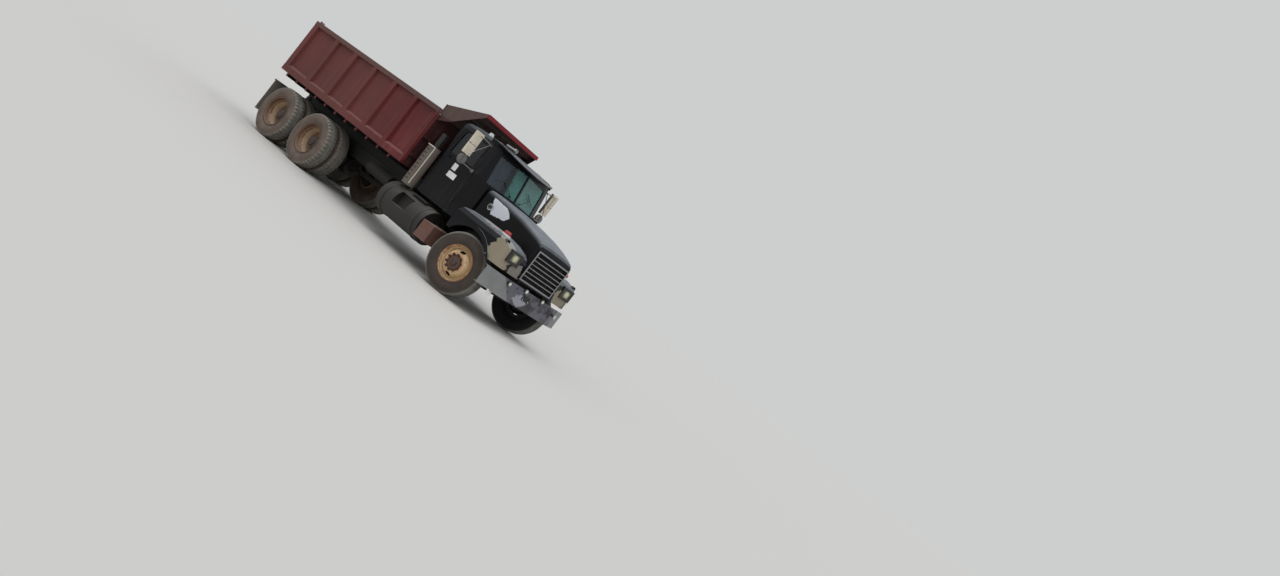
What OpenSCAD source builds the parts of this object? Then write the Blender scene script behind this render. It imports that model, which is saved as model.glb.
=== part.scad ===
// Six-wheel tipper truck with a bonnet, a steel box body and a front telescopic hoist.
// Millimetres. The truck faces -Y, its left side is +X, and the ground is z = 0.
// Stations along the truck are counted from the front axle and then moved so that the
// origin lies on the ground under the middle of the whole truck.

/* [Wheels and axles] */
// Distance from the front axle to the middle of the two rear axles
wheelbase = 5600; // [5200:50:6200]
// Distance between the two rear axles
tandem_spacing = 1320; // [1280:10:1450]
// Outer radius of every tyre
tyre_r = 550; // [520:5:560]
// Width of one tyre
tyre_w = 280; // [260:5:290]
// Radius of the rim where the tyre's bead sits
rim_r = 311; // [290:1:320]
// Distance from the truck's middle to the middle of a front wheel
front_track_half = 1040; // [1020:5:1060]
// Distance from the truck's middle to the mounting face of a rear pair of wheels
rear_track_half = 912; // [900:2:925]
// Distance between the middles of two paired rear wheels
dual_pitch = 336; // [325:1:350]
// Distance from the truck's middle to a front wheel's kingpin
kingpin_x = 880; // [870:5:890]
// Angle that the front wheels are turned to the truck's left when parked
steer_rest = 14; // [0:1:20]
// Radius of a front wheel's spindle
spindle_r = 42; // [38:1:46]
// Radius of a rear axle's end
rear_spindle_r = 50; // [44:1:54]
// Radius of a brake drum
drum_r = 205; // [190:1:215]

/* [Frame] */
// Outer width over the two frame rails
frame_w = 850; // [830:5:870]
// Height of a frame rail
rail_h = 270; // [250:5:290]
// Width of a frame rail's flanges
rail_flange = 85; // [75:1:95]
// Thickness of a frame rail's steel
rail_t = 10; // [8:1:12]
// Height of the rails' top above the ground
rail_top = 1040; // [1030:2:1050]
// Distance from the middle of the two rear axles to the rails' rear end
frame_overhang = 1250; // [1220:10:1280]

/* [Front end] */
// Station of the bumper lamps' front, the truck's foremost point
front_y = -885; // [-920:5:-870]
// How far the bumper's ends reach outside the fenders
bumper_beyond = 25; // [0:5:40]
// Height of the bumper's lower edge
bumper_low = 545; // [520:5:570]
// Height of the bumper's upper edge
bumper_top = 878; // [860:2:884]
// How far the bumper's ends sweep back
bumper_sweep = 130; // [90:5:140]
// Thickness of the bumper's plate
bumper_t = 12; // [8:1:16]
// Station of the hood's nose
nose_y = -800; // [-810:2:-790]
// Station of the hood's rear edge
hood_rear = 700; // [680:2:705]
// Thickness of the hood's shell
hood_t = 12; // [8:1:16]
// Half the width of the fenders' outer face
fender_half = 1175; // [1165:1:1185]
// Radius of the wheel arch
arch_r = 680; // [660:5:690]
// Height of the wheel arch's middle above the ground
arch_z = 500; // [490:2:510]
// Half the width of the grille
grille_half = 490; // [470:5:500]
// Number of bars across the grille
grille_bars = 6; // [4:1:8]

/* [Cab] */
// Half the width of the cab over its doors
cab_half = 1000; // [980:5:1010]
// Station of the cab's front wall
cab_front = 722; // [715:1:740]
// Station of the cab's rear wall
cab_rear = 1980; // [1950:5:2000]
// Height of the cab's lower edge
cab_low = 1100; // [1080:5:1110]
// Height of the roof's middle
roof_z = 2670; // [2620:5:2690]
// Thickness of the cab's walls and doors
cab_wall = 42; // [36:1:50]
// Gap round a door
door_gap = 5; // [4:0.5:7]
// Station of the door's front edge
door_front = 1010; // [1005:1:1020]
// Station of the door's rear edge
door_rear = 1880; // [1840:5:1900]
// Height of the windows' lower edge
belt_z = 2000; // [1980:2:2020]
// Distance from the roof's middle down to the windows' upper edge
window_drop = 190; // [180:2:210]

/* [Tipping body] */
// Station of the body's front wall
bed_front = 2440; // [2420:5:2460]
// How far the body's sides reach behind the rails
bed_overhang = 135; // [110:5:150]
// Half the width over the body's ribs
bed_half = 1220; // [1200:2:1225]
// Height of the body's lower edge
bed_low = 1295; // [1280:5:1310]
// Height of the body sides' top
bed_top = 2515; // [2480:5:2560]
// Thickness of the body's sheets
sheet_t = 8; // [6:1:12]
// Depth of the ribs outside the side sheet
rib_depth = 62; // [50:2:70]
// Width of one rib
rib_w = 120; // [90:5:140]
// Distance between two ribs
rib_pitch = 720; // [700:5:730]
// Height of the rail along the top of a side
top_rail_h = 92; // [80:2:110]
// Height of the rail along the bottom of a side
low_rail_h = 170; // [150:5:190]
// Distance from the rails' rear end forward to the tipping hinge
tip_ahead = 100; // [90:5:130]
// Height of the tipping hinge
tip_z = 1120; // [1110:2:1130]
// Radius of the tipping hinge's shaft
tip_r = 34; // [30:1:40]
// Half the width of the cab guard's front lip
guard_half = 830; // [800:5:860]
// Station of the cab guard's front lip
guard_front = 1757; // [1740:2:1780]
// How far the cab guard's front lip stands above the cab's roof
guard_rise = 275; // [230:5:290]

/* [Hoist] */
// Station of the hoist's lower pivot
hoist_y = 2210; // [2200:2:2216]
// Height of the hoist's lower pivot
hoist_z = 1000; // [990:2:1010]
// Station of the hoist's upper eye
eye_y = 2290; // [2284:2:2296]
// Height of the hoist's upper eye
eye_z = 2430; // [2410:5:2440]
// Outer radius of the hoist's barrel
barrel_r = 112; // [105:1:115]

/* [Fittings] */
// Radius of a fuel tank
tank_r = 320; // [300:5:325]
// Station of the fuel tanks' front end
tank_front = 1130; // [1120:5:1160]
// Station of the fuel tanks' rear end
tank_rear = 2420; // [2300:10:2430]
// Height of the fuel tanks' middle
tank_z = 690; // [680:2:700]
// Height of the heat shield's top
shield_top = 1890; // [1860:5:1900]
// Height of the exhaust pipe's end
stack_top = 2185; // [2150:5:2230]
// Distance from the truck's middle to a mirror's middle
mirror_x = 1270; // [1240:5:1280]

/* [Hidden] */
$fn = 48;

// Stations and heights that follow from the driving sizes
frame_rear = wheelbase + frame_overhang;
bumper_half = fender_half + bumper_beyond;
bed_rear = frame_rear + bed_overhang;
tip_y = frame_rear - tip_ahead;
window_top = roof_z - window_drop;
guard_z = roof_z + guard_rise;
tail_y = bed_rear + 45;
mid_y = (front_y + tail_y) / 2;
axle_y = [0, wheelbase - tandem_spacing / 2, wheelbase + tandem_spacing / 2];
axle_z = tyre_r;
rail_low = rail_top - rail_h;
rail_in = frame_w / 2 - rail_t;
seat_gap = 0.3;
run_gap = 0.3;

// Moves a sub-part from front-axle stations into the truck's own frame
module in_frame() translate([0, -mid_y, 0]) children();

// Draws a sub-part on both sides of the truck
module both_sides() {
    children();
    mirror([1, 0, 0]) children();
}

// Extrudes an outline of [y, z] points from x0 to x1
module yz_prism(points, x0, x1)
    translate([x0, 0, 0]) rotate([90, 0, 90]) linear_extrude(x1 - x0) polygon(points);

// Extrudes an outline of [x, z] points from y0 to y1
module xz_prism(points, y0, y1)
    translate([0, y1, 0]) rotate([90, 0, 0]) linear_extrude(y1 - y0) polygon(points);

// Extrudes an outline of [x, y] points from z0 to z1
module xy_prism(points, z0, z1)
    translate([0, 0, z0]) linear_extrude(z1 - z0) polygon(points);

// A block from its low corner to its high corner
module block(low, high) translate(low) cube(high - low);

// Round bars along the three axes, from a middle point with half lengths
module x_bar(p, r, half) translate(p) rotate([0, 90, 0]) cylinder(r = r, h = 2 * half, center = true);
module y_bar(p, r, half) translate(p) rotate([90, 0, 0]) cylinder(r = r, h = 2 * half, center = true);
module z_bar(p, r, half) translate(p) cylinder(r = r, h = 2 * half, center = true);

// Points along an arc from angle a0 to a1
function arc(cx, cy, r, a0, a1, n = 6) =
    [for (i = [0:n]) let (a = a0 + (a1 - a0) * i / n) [cx + r * cos(a), cy + r * sin(a)]];

// A straight round rod between two points
module rod(a, b, r) {
    d = b - a;
    length = norm(d);
    turn = atan2(d.y, d.x);
    lean = acos(d.z / length);
    translate(a) rotate([0, lean, turn]) cylinder(r = r, h = length);
}

// A body lofted through sections given as [y, [[x, z], ...]]
module loft(sections) {
    n = len(sections[0][1]);
    m = len(sections);
    points = [for (s = sections) for (p = s[1]) [p[0], s[0], p[1]]];
    sides = [for (j = [0:m - 2]) for (i = [0:n - 1])
        let (a = j * n + i, b = j * n + (i + 1) % n)
        for (face = [[a, b, b + n], [a, b + n, a + n]]) face];
    caps = [[for (i = [n - 1:-1:0]) i], [for (i = [0:n - 1]) (m - 1) * n + i]];
    polyhedron(points = points, faces = concat(sides, caps), convexity = 6);
}

// Chassis

rail_x = frame_w / 2;
hinge_ear_x = 470;

module rail() {
    difference() {
        block([rail_x - rail_flange, -640, rail_low], [rail_x, frame_rear, rail_top]);
        block([rail_x - rail_flange - 1, -641, rail_low + rail_t],
              [rail_x - rail_t, frame_rear + 1, rail_top - rail_t]);
    }
}

// A cross-member of channel steel between the rails
module cross_channel(y, low, high, depth = 80)
    difference() {
        block([-rail_in, y - depth / 2, low], [rail_in, y + depth / 2, high]);
        block([-rail_in + rail_flange, y - depth / 2 - 1, low + rail_t],
              [rail_in - rail_flange, y + depth / 2 - rail_t, high - rail_t]);
    }

trunnion_z = axle_z - 70;
trunnion_r = 55;
spring_x = 500;
cradle_x = barrel_r + 20;
front_member_y = -600;
hood_pivot_y = -775;
hood_pivot_z = 925;
hood_pivot_x = 400;

// Tow plate: half width, thickness, height, and the bore with its reach behind the frame
tow_half = 85;
tow_t = 30;
tow_z = 880;
tow_reach = 90;
tow_bore_r = 21;

// The two rails, each with what is welded to it
module chassis_frame() color("#3a3431") in_frame() both_sides() {
    rail();
    // Hanger of the rear springs' trunnion
    difference() {
        yz_prism([[wheelbase - 260, rail_low + 150], [wheelbase - 200, trunnion_z - 40],
            [wheelbase - 60, trunnion_z - 85], [wheelbase + 60, trunnion_z - 85],
            [wheelbase + 200, trunnion_z - 40], [wheelbase + 260, rail_low + 150]],
            rail_x - 1, rail_x + 18);
        x_bar([rail_x, wheelbase, trunnion_z], trunnion_r + seat_gap, 40);
    }
    // Ear of the tipping hinge
    difference() {
        yz_prism([[tip_y - 160, rail_top - 180], [tip_y + 90, rail_top - 180],
            [tip_y + 62, tip_z + 15], [tip_y + 30, tip_z + 55], [tip_y - 30, tip_z + 55],
            [tip_y - 62, tip_z + 15]], rail_x - 1, rail_x + 22);
        x_bar([rail_x, tip_y, tip_z], tip_r + seat_gap, 40);
    }
    // Bracket that carries the bumper
    yz_prism([[-639, rail_low], [bumper_back(0) + seat_gap, rail_low - 40],
        [bumper_back(0) + seat_gap, bumper_top - 60], [-639, rail_top - 60]], rail_x - rail_t, rail_x);
}

// What ties the rails together, each piece between their webs
module cross_members() color("#3a3431") in_frame() {
    for (y = [front_member_y, tank_rear + 880, wheelbase - 1150, frame_rear - 350])
        cross_channel(y, rail_low + 20, rail_top - 20);
    cross_channel(door_rear - 30, rail_low + 75, rail_top - 20);
    // Plates on the front member with the hood's pivot pins
    both_sides() {
        yz_prism(concat([[front_member_y - 39, rail_top - 60], [front_member_y - 39, rail_top - 140]],
            arc(hood_pivot_y, hood_pivot_z, 16, 270, 80)), hood_pivot_x - 8, hood_pivot_x + 8);
        x_bar([hood_pivot_x, hood_pivot_y, hood_pivot_z], 14, 32);
    }
    // Closing member at the rear end, with a tow plate
    block([-rail_in, frame_rear - 12, rail_low + rail_t + seat_gap],
        [rail_in, frame_rear, rail_top - rail_t - seat_gap]);
    difference() {
        block([-tow_half, frame_rear - 1, tow_z - tow_t / 2], [tow_half, frame_rear + 140,
            tow_z + tow_t / 2]);
        z_bar([0, frame_rear + tow_reach, tow_z], tow_bore_r, tow_t);
    }
    // Trunnion tube of the rear springs, and the shaft of the tipping hinge
    x_bar([0, wheelbase, trunnion_z], trunnion_r, spring_x + 55);
    x_bar([0, tip_y, tip_z], tip_r, rail_x + 30);
    // Cradle of the hoist
    block([-rail_in, hoist_y - 70, 840], [rail_in, hoist_y + 70, 868]);
    both_sides() yz_prism([[hoist_y - 60, 860], [hoist_y + 60, 860], [hoist_y + 60, hoist_z],
        [hoist_y + 30, hoist_z + 50], [hoist_y - 30, hoist_z + 50], [hoist_y - 60, hoist_z]],
        cradle_x, cradle_x + 20);
    x_bar([0, hoist_y, hoist_z], 28, cradle_x + 25);
}

// The bumper's plate in plan: station of its back at a distance x from the middle
function bumper_back(x) = front_y + 35 + bumper_t
    + (abs(x) < bumper_knee ? 0 : bumper_sweep * (abs(x) - bumper_knee) / (bumper_half - bumper_knee));
bumper_knee = 760;
// Each bumper lamp as [x, z]
bumper_lamps = [[-660, 825], [-190, 872], [330, 872], [865, 770]];

module bumper_plan(t0, t1) polygon([
    [-bumper_half, bumper_back(bumper_half) - t0], [-bumper_knee, bumper_back(0) - t0],
    [bumper_knee, bumper_back(0) - t0], [bumper_half, bumper_back(bumper_half) - t0],
    [bumper_half, bumper_back(bumper_half) - t1], [bumper_knee, bumper_back(0) - t1],
    [-bumper_knee, bumper_back(0) - t1], [-bumper_half, bumper_back(bumper_half) - t1]]);

module front_bumper() color("#8c8f90") in_frame() {
    translate([0, 0, bumper_low]) linear_extrude(bumper_top - bumper_low) bumper_plan(0, bumper_t);
    // Folded flanges along the top and the bottom
    for (z = [bumper_low, bumper_top - bumper_t]) translate([0, 0, z])
        linear_extrude(bumper_t) bumper_plan(-45, 0);
    // Brackets to the rails
    both_sides() block([rail_x + seat_gap, bumper_back(0) - 1, rail_low], [rail_x + 14, -560,
        bumper_top - 70]);
    // Small round lamps on the upper edge
    for (lamp = bumper_lamps) {
        y_bar([lamp[0], bumper_back(lamp[0]) - bumper_t - 17, lamp[1]], 33, 18);
    }
}

// Front axle and steering

beam_z = 470;
kingpin_boss_half = 52;
kingpin_r = 20;
front_spring_x = 385;
front_seat_z = 524;

module front_axle_beam() color("#35302d") in_frame() {
    // I-section beam with a dropped middle
    difference() {
        union() {
            xz_prism([[-kingpin_x + 45, 520], [-760, 520], [-560, 430], [560, 430], [760, 520],
                [kingpin_x - 45, 520], [kingpin_x - 45, 585], [740, 585], [540, 515],
                [-540, 515], [-740, 585], [-kingpin_x + 45, 585]], -48, 48);
            both_sides() z_bar([kingpin_x, 0, axle_z], 50, kingpin_boss_half);
        }
        both_sides() {
            z_bar([kingpin_x, 0, axle_z], kingpin_r + run_gap, kingpin_boss_half + 1);
            for (side = [-1, 1]) block([-540, side * 33 - 16, 448], [540, side * 33 + 16, 500]);
        }
    }
    // Spring seats
    both_sides() block([front_spring_x - 55, -90, front_seat_z - 12], [front_spring_x + 55, 90,
        front_seat_z]);
}

// One leaf as a bowed strip: half length, top height at the middle, fall at the end
function leaf(half, top, thick, bow) = concat(
    [for (i = [0:8]) let (u = -1 + i / 4) [u * half, top + bow * pow(u * half, 2)]],
    [for (i = [8:-1:0]) let (u = -1 + i / 4) [u * half, top - thick + bow * pow(u * half, 2)]]);

// Each leaf sinks this far into the next, so that a pack is one solid
leaf_lap = 0.5;
front_spring_low = front_seat_z + seat_gap + leaf_lap;
front_leaf_t = 14;
front_leaves = 6;
front_spring_half = 620;
front_bow = 0.00036;

module front_springs() color("#332f2c") in_frame() both_sides() {
    translate([front_spring_x - 45, 0, 0]) rotate([90, 0, 90]) {
        for (i = [0:front_leaves - 1])
            linear_extrude(90) polygon(leaf(front_spring_half - 95 * i,
                front_spring_low + front_leaf_t * (front_leaves - i), front_leaf_t + leaf_lap, front_bow));
    }
    // Eyes, hanger in front and shackle behind, up to the rail
    eye_z_front = front_spring_low + front_leaf_t * front_leaves + front_bow * pow(front_spring_half, 2);
    for (end = [-1, 1]) {
        x_bar([front_spring_x, end * front_spring_half, eye_z_front - 6], 26, 45);
        block([front_spring_x - 30, end * front_spring_half - 24, eye_z_front - 6],
              [front_spring_x + 30, end * front_spring_half + 24, rail_low - seat_gap]);
    }
    // U-bolts and the plate on top
    plate_z = front_spring_low + front_leaf_t * front_leaves;
    block([front_spring_x - 55, -80, plate_z], [front_spring_x + 55, 80, plate_z + 18]);
    for (x = [-52, 52]) for (y = [-60, 60]) translate([front_spring_x + x, y, front_seat_z + seat_gap])
        cylinder(r = 8, h = plate_z + 30 - front_seat_z);
}

arm_len = 180;
tie_z = 452;
drag_z = 668;
ball_r = 20;

// Knuckle for the left side with its wheels straight ahead, kingpin at the origin
module knuckle_form(with_drag_arm) {
    z_bar([0, 0, 0], kingpin_r, kingpin_boss_half + 40);
    for (side = [-1, 1])
        block([-42, -42, side * (kingpin_boss_half + 18) - 17], [60, 42,
            side * (kingpin_boss_half + 18) + 17]);
    block([52, -60, -kingpin_boss_half - 35], [78, 60, kingpin_boss_half + 35]);
    // Backing plate, then the spindle
    x_bar([62, 0, 0], 150, 6);
    translate([62, 0, 0]) rotate([0, 90, 0]) cylinder(r = spindle_r, h = 240);
    // Steering arm to the tie rod
    xy_prism(concat([[40, 20], [40, -20]], [[-18, 0], [-18, arm_len], [18, arm_len + 4], [20, 60]]),
             -kingpin_boss_half - 35, -kingpin_boss_half - 19);
    z_bar([0, arm_len, tie_z - axle_z + 10], 13, 26);
    if (with_drag_arm) {
        xy_prism([[40, -20], [40, 20], [-18, 0], [-18, -arm_len], [18, -arm_len - 4], [20, -60]],
                 kingpin_boss_half + 19, kingpin_boss_half + 35);
        z_bar([0, -arm_len, drag_z - axle_z - 14], 13, 30);
    }
}

// Places a left-hand knuckle or wheel on its kingpin, turned to the parked angle
module on_left_kingpin()
    translate([kingpin_x, 0, axle_z]) rotate([0, 0, steer_rest]) children();

// The same for the right-hand side, from a left-hand form
module on_right_kingpin()
    translate([-kingpin_x, 0, axle_z]) rotate([0, 0, steer_rest]) mirror([1, 0, 0]) children();

module knuckle_left() color("#2f2b29") in_frame() on_left_kingpin() knuckle_form(true);
module knuckle_right() color("#2f2b29") in_frame() on_right_kingpin() knuckle_form(false);

// Point at the end of an arm that turns with the wheels
function arm_end(x, y, reach, z) = [x - reach * sin(steer_rest), y + reach * cos(steer_rest), z];

// A link with an eye at both ends, bored for the ball pins
module eye_link(a, b, r, eye_r, eye_half, pin_r) difference() {
    union() {
        rod(a, b, r);
        for (p = [a, b]) z_bar(p, eye_r, eye_half);
    }
    for (p = [a, b]) z_bar(p, pin_r, eye_half + r);
}

module tie_rod() color("#3b3633") in_frame()
    eye_link(arm_end(kingpin_x, 0, arm_len, tie_z - 6), arm_end(-kingpin_x, 0, arm_len, tie_z - 6),
             17, 26, 12, 13 + run_gap);

gear_x = 570;
gear_y = -60;

module drag_link() color("#3b3633") in_frame()
    eye_link(arm_end(kingpin_x, 0, -arm_len, drag_z + 2), arm_end(gear_x, gear_y, -arm_len, drag_z + 2),
             14, 24, 12, 13 + run_gap);

module pitman_arm() color("#2f2b29") in_frame()
    translate([gear_x, gear_y, 0]) rotate([0, 0, steer_rest]) {
        difference() {
            union() {
                z_bar([0, 0, drag_z + 35], 34, 16);
                xy_prism([[-28, 0], [28, 0], [17, -arm_len], [-17, -arm_len]], drag_z + 19, drag_z + 35);
                z_bar([0, -arm_len, drag_z + 8], 13, 20);
            }
            z_bar([0, 0, drag_z + 35], 18 + run_gap, 17);
        }
    }

module steering_gear() color("#302c2a") in_frame() {
    block([rail_x + seat_gap, gear_y - 110, drag_z + 75], [gear_x + 20, gear_y + 90, drag_z + 250]);
    z_bar([gear_x, gear_y, drag_z + 105], 48, 50);
    z_bar([gear_x, gear_y, drag_z + 60], 18, 44);
    // Steering column up to the cab's floor
    rod([gear_x - 30, gear_y + 80, drag_z + 180], [430, cab_front - 10, 1290], 16);
}

// Rear axles and suspension

housing_r = 65;
housing_half = 575;

module rear_axles() color("#3a332d") in_frame() for (k = [1, 2]) {
    y = axle_y[k];
    x_bar([0, y, axle_z], housing_r, housing_half);
    x_bar([0, y, axle_z], rear_spindle_r, rear_track_half + 160);
    // Round casing of the final drive, with its nose towards the engine
    y_bar([0, y, axle_z], 190, 120);
    translate([0, y - 120, axle_z + 40]) rotate([90, 0, 0]) cylinder(r1 = 120, r2 = 70, h = 170);
    translate([0, y + 120, axle_z]) rotate([-90, 0, 0]) cylinder(r1 = 165, r2 = 110, h = 60);
    both_sides() {
        // Spring pad, backing plate and brake chamber
        difference() {
            block([spring_x - 60, y - 40, axle_z + 40], [spring_x + 60, y + 40, pad_top]);
            leaf_pack(seat_gap);
            translate([0, 0, rear_leaf_t - 2]) leaf_pack(seat_gap);
        }
        x_bar([568, y, axle_z], drum_r - 25, 7);
        y_bar([350, y - 115, axle_z + 70], 72, 60);
    }
}

spring_half = tandem_spacing / 2 + 70;
rear_leaf_t = 15;
rear_leaves = 8;
rear_bow = -0.00027;
// Height of the top leaf at its middle, so that its ends rest on the pads
rear_spring_top = axle_z + housing_r + 42 - rear_bow * pow(tandem_spacing / 2, 2);
rear_leaf_step = 78;
// The pads' cheeks stand beside the top leaf
pad_top = axle_z + housing_r + 36;

// The leaves of one side, let out downwards and sideways by g
module leaf_pack(g) translate([spring_x - 50 - g, wheelbase, -g]) rotate([90, 0, 90])
    for (i = [0:rear_leaves - 1])
        linear_extrude(100 + 2 * g) polygon(leaf(spring_half - rear_leaf_step * i + g,
            rear_spring_top - rear_leaf_t * i, rear_leaf_t + leaf_lap, rear_bow));

module rear_springs() color("#463d35") in_frame() both_sides() {
    leaf_pack(0);
    // Saddle on the trunnion and the clamp plate above
    difference() {
        union() {
            block([spring_x - 52, wheelbase - 110, trunnion_z],
                  [spring_x + 52, wheelbase + 110, rear_spring_top - rear_leaf_t * rear_leaves + 4]);
            x_bar([spring_x, wheelbase, trunnion_z], 95, 52);
        }
        x_bar([spring_x, wheelbase, trunnion_z], trunnion_r + run_gap, 60);
    }
    block([spring_x - 56, wheelbase - 90, rear_spring_top - 1],
          [spring_x + 56, wheelbase + 90, rear_spring_top + 20]);
}

module prop_shafts() color("#3f3933") in_frame() {
    front_end = [0, gearbox_rear + 20, 760];
    first_nose = [0, axle_y[1] - 300, axle_z + 40];
    rod(front_end, first_nose, 52);
    for (p = [front_end, first_nose]) rod(p - [0, 10, 0], p + [0, 10, 0], 85);
    // Shaft between the two axles, with a flange at each end
    shaft_y = [axle_y[1] + 189 + seat_gap, axle_y[2] - 299 - seat_gap];
    rod([0, shaft_y[0], axle_z + 60], [0, shaft_y[1], axle_z + 40], 42);
    for (y = shaft_y) y_bar([0, y, axle_z + 50], 75, 9);
}

gearbox_rear = 1760;

module engine() color("#4a4744") in_frame() {
    xz_prism([[-190, 620], [190, 620], [300, 800], [300, 1380], [200, 1500], [-200, 1500],
        [-300, 1380], [-300, 800]], -330, 620);
    translate([0, 620, 850]) rotate([-90, 0, 0]) cylinder(r1 = 240, r2 = 180, h = 180);
    block([-170, 790, 660], [170, gearbox_rear, 1010]);
    y_bar([0, gearbox_rear, 760], 60, 9.5);
}

module radiator() color("#55524e") in_frame() {
    block([-400, -660, rail_top + 10], [400, -580, 1560]);
    block([-330, -640, rail_top - 20 + seat_gap], [330, -585, rail_top + 11]);
    for (z = [rail_top + 10, 1500]) block([-420, -675, z], [420, -565, z + 60]);
}

// Fittings on the frame

module tank_form() difference() {
    y_bar([rail_x + 135 + tank_r, (tank_front + tank_rear) / 2, tank_z], tank_r,
        (tank_rear - tank_front) / 2);
    // Step cut into the tank's outer side
    block([rail_x + 135 + tank_r + 150, 1600, tank_z - 30], [rail_x + 140 + 2 * tank_r, 2000,
        tank_z + 230]);
}

module fuel_tanks() color("#3d3c3b") in_frame() both_sides() {
    tank_form();
    // Two brackets from the rail and the straps round the tank
    for (y = [tank_front + 170, tank_rear - 130]) {
        difference() {
            y_bar([rail_x + 135 + tank_r, y, tank_z], tank_r + 8, 35);
            y_bar([rail_x + 135 + tank_r, y, tank_z], tank_r - 1, 36);
        }
        difference() {
            block([rail_x + seat_gap, y - 35, rail_low - 60], [rail_x + 300, y + 35, rail_top - 70]);
            y_bar([rail_x + 135 + tank_r, y, tank_z], tank_r + 2, 36);
        }
    }
    // Step rungs above the tank
    block([rail_x + 350, 1400, tank_z + tank_r - 12], [rail_x + 640, 1850, tank_z + tank_r + 22]);
}

module battery_boxes() color("#5b3a2c") in_frame() both_sides() {
    block([900, 760, 470], [1200, 1080, 800]);
    block([rail_x + seat_gap, 800, 780], [960, 1060, 810]);
    block([rail_x + seat_gap, 800, 780], [rail_x + 20, 1060, 960]);
}

stack_x = -1010;
stack_y = 2130;
muffler_r = 105;
shield_r = 138;

module exhaust_stack() color("#2c2928") in_frame() {
    z_bar([stack_x, stack_y, 1420], muffler_r, 380);
    difference() {
        z_bar([stack_x, stack_y, (1790 + stack_top) / 2], 64, (stack_top - 1790) / 2);
        z_bar([stack_x, stack_y, stack_top], 58, 120);
    }
    // Band round the pipe and the pipe from the engine
    z_bar([stack_x, stack_y, stack_top - 225], 72, 18);
    rod([stack_x, stack_y, 1080], [-560, stack_y, 1030], 50);
    z_bar([stack_x, stack_y, 1060], 62, 30);
    // Stand on the rail
    block([-560, stack_y - 60, 860], [-rail_x - seat_gap, stack_y + 60, 1060]);
}

module heat_shield() color("#8a735c") in_frame() {
    difference() {
        z_bar([stack_x, stack_y, (1050 + shield_top) / 2], shield_r, (shield_top - 1050) / 2);
        z_bar([stack_x, stack_y, 1400], shield_r - 8, 600);
        block([stack_x + 20, stack_y - 150, 1000], [stack_x + 200, stack_y + 200, 2000]);
        // Louvre slots
        for (i = [0:8]) let (z = 1150 + 80 * i)
            block([stack_x - 150, stack_y - 40, z], [stack_x - 100, stack_y + 40, z + 12]);
    }
    // Clips to the muffler
    for (z = [1180, 1700]) block([stack_x - 15, stack_y - 135, z], [stack_x + 15,
        stack_y - muffler_r - 0.4, z + 40]);
    // Pipe welded up the front outer edge and round under the rim
    pipe_at = shield_r + 8;
    z_bar([stack_x - pipe_at * cos(45), stack_y - pipe_at * sin(45), (1090 + shield_top - 14) / 2], 13,
        (shield_top - 14 - 1090) / 2);
    translate([stack_x, stack_y, shield_top - 14]) rotate([0, 0, 225]) rotate_extrude(angle = -80)
        translate([pipe_at, 0]) circle(r = 13);
}

module air_tanks() color("#33302e") in_frame() {
    both_sides() {
        y_bar([rail_x + 150, 3350, 860], 115, 380);
        for (y = [3120, 3580]) block([rail_x + seat_gap, y - 25, 800], [rail_x + 60, y + 25, 920]);
    }
}

module mudflaps() color("#51443b") in_frame() both_sides() {
    x_bar([(rail_x + 1230) / 2, frame_rear + 30, 1040], 16, (1230 - rail_x) / 2);
    block([rail_x + seat_gap - 60, frame_rear + 0.3, 1015], [rail_x - 5, frame_rear + 46, 1065]);
    x_bar([rail_x - 25, frame_rear + 30, 1040], 16, 30);
    block([600, frame_rear + 25, 330], [1215, frame_rear + 35, 1040]);
}

module tail_lamps() color("#3a2a28") in_frame() {
    both_sides() block([rail_x - 330, frame_rear + seat_gap, 790], [rail_x - 70, frame_rear + 60, 900]);
}

// Cab

// Cab outlines, each drawn in by g from the outer skin. Below the windscreen the cab is a box with cut
// corners, and above it the front is a shallow V that leans back.
cowl_z = 1935;
function cab_plan(g) = [
    [-(cab_half - 200 - g), cab_front + g], [cab_half - 200 - g, cab_front + g],
    [cab_half - g, door_front - 10 + g * 0.4],
    [cab_half - g, cab_rear - 90], [cab_half - 26 - g * 0.6, cab_rear - 26 - g * 0.6],
    [cab_half - 90, cab_rear - g], [-(cab_half - 90), cab_rear - g],
    [-(cab_half - 26 - g * 0.6), cab_rear - 26 - g * 0.6], [-(cab_half - g), cab_rear - 90],
    [-(cab_half - g), door_front - 10 + g * 0.4]];
function cab_roof_side(g) = [
    [cab_front - 40, cowl_z - 60 - g], [cab_front - 40, window_top + 50],
    [cab_front + 128 + g * 0.8, window_top + 78 - g * 0.5],
    [cab_front + 185 + g * 0.5, window_top + 122 - g * 0.8], [cab_front + 288, roof_z - 30 - g],
    [cab_front + 498, roof_z - 8 - g], [cab_front + 838, roof_z - g], [cab_rear - 180 - g * 0.2,
        roof_z - 14 - g],
    [cab_rear - 70 - g * 0.5, roof_z - 40 - g],
    [cab_rear - 22 - g * 0.9, roof_z - 90 - g * 0.5], [cab_rear - g, roof_z - 170 - g * 0.3],
    [cab_rear - g, cowl_z - 60 - g]];
function cab_section(g) = let (half = [
    [cab_half - g, cab_low + g], [cab_half - g, belt_z - 10], [cab_half - 42 - g,
        window_top + 20 - g * 0.3],
    [cab_half - 70 - g * 0.9, roof_z - 95 - g * 0.5], [cab_half - 130 - g * 0.5, roof_z - 42 - g],
    [cab_half - 260, roof_z - 14 - g], [450, roof_z + 2 - g]])
    concat(half, [for (i = [len(half) - 1:-1:0]) [-half[i][0], half[i][1]]]);

// The frame of the leaning V, with its origin on the V's point at the windscreen's lower edge
screen_rake = 10;
screen_y = cab_front + 24;
screen_low = cowl_z + 20;
screen_high = window_top + 12;
pane_half = 745;
pane_vee = 165;
pane_len = norm([pane_half, pane_vee]);
pane_post = 24;
pane_edge = 24;
module in_rake() translate([0, screen_y, screen_low]) rotate([-screen_rake, 0, 0]) children();

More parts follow.
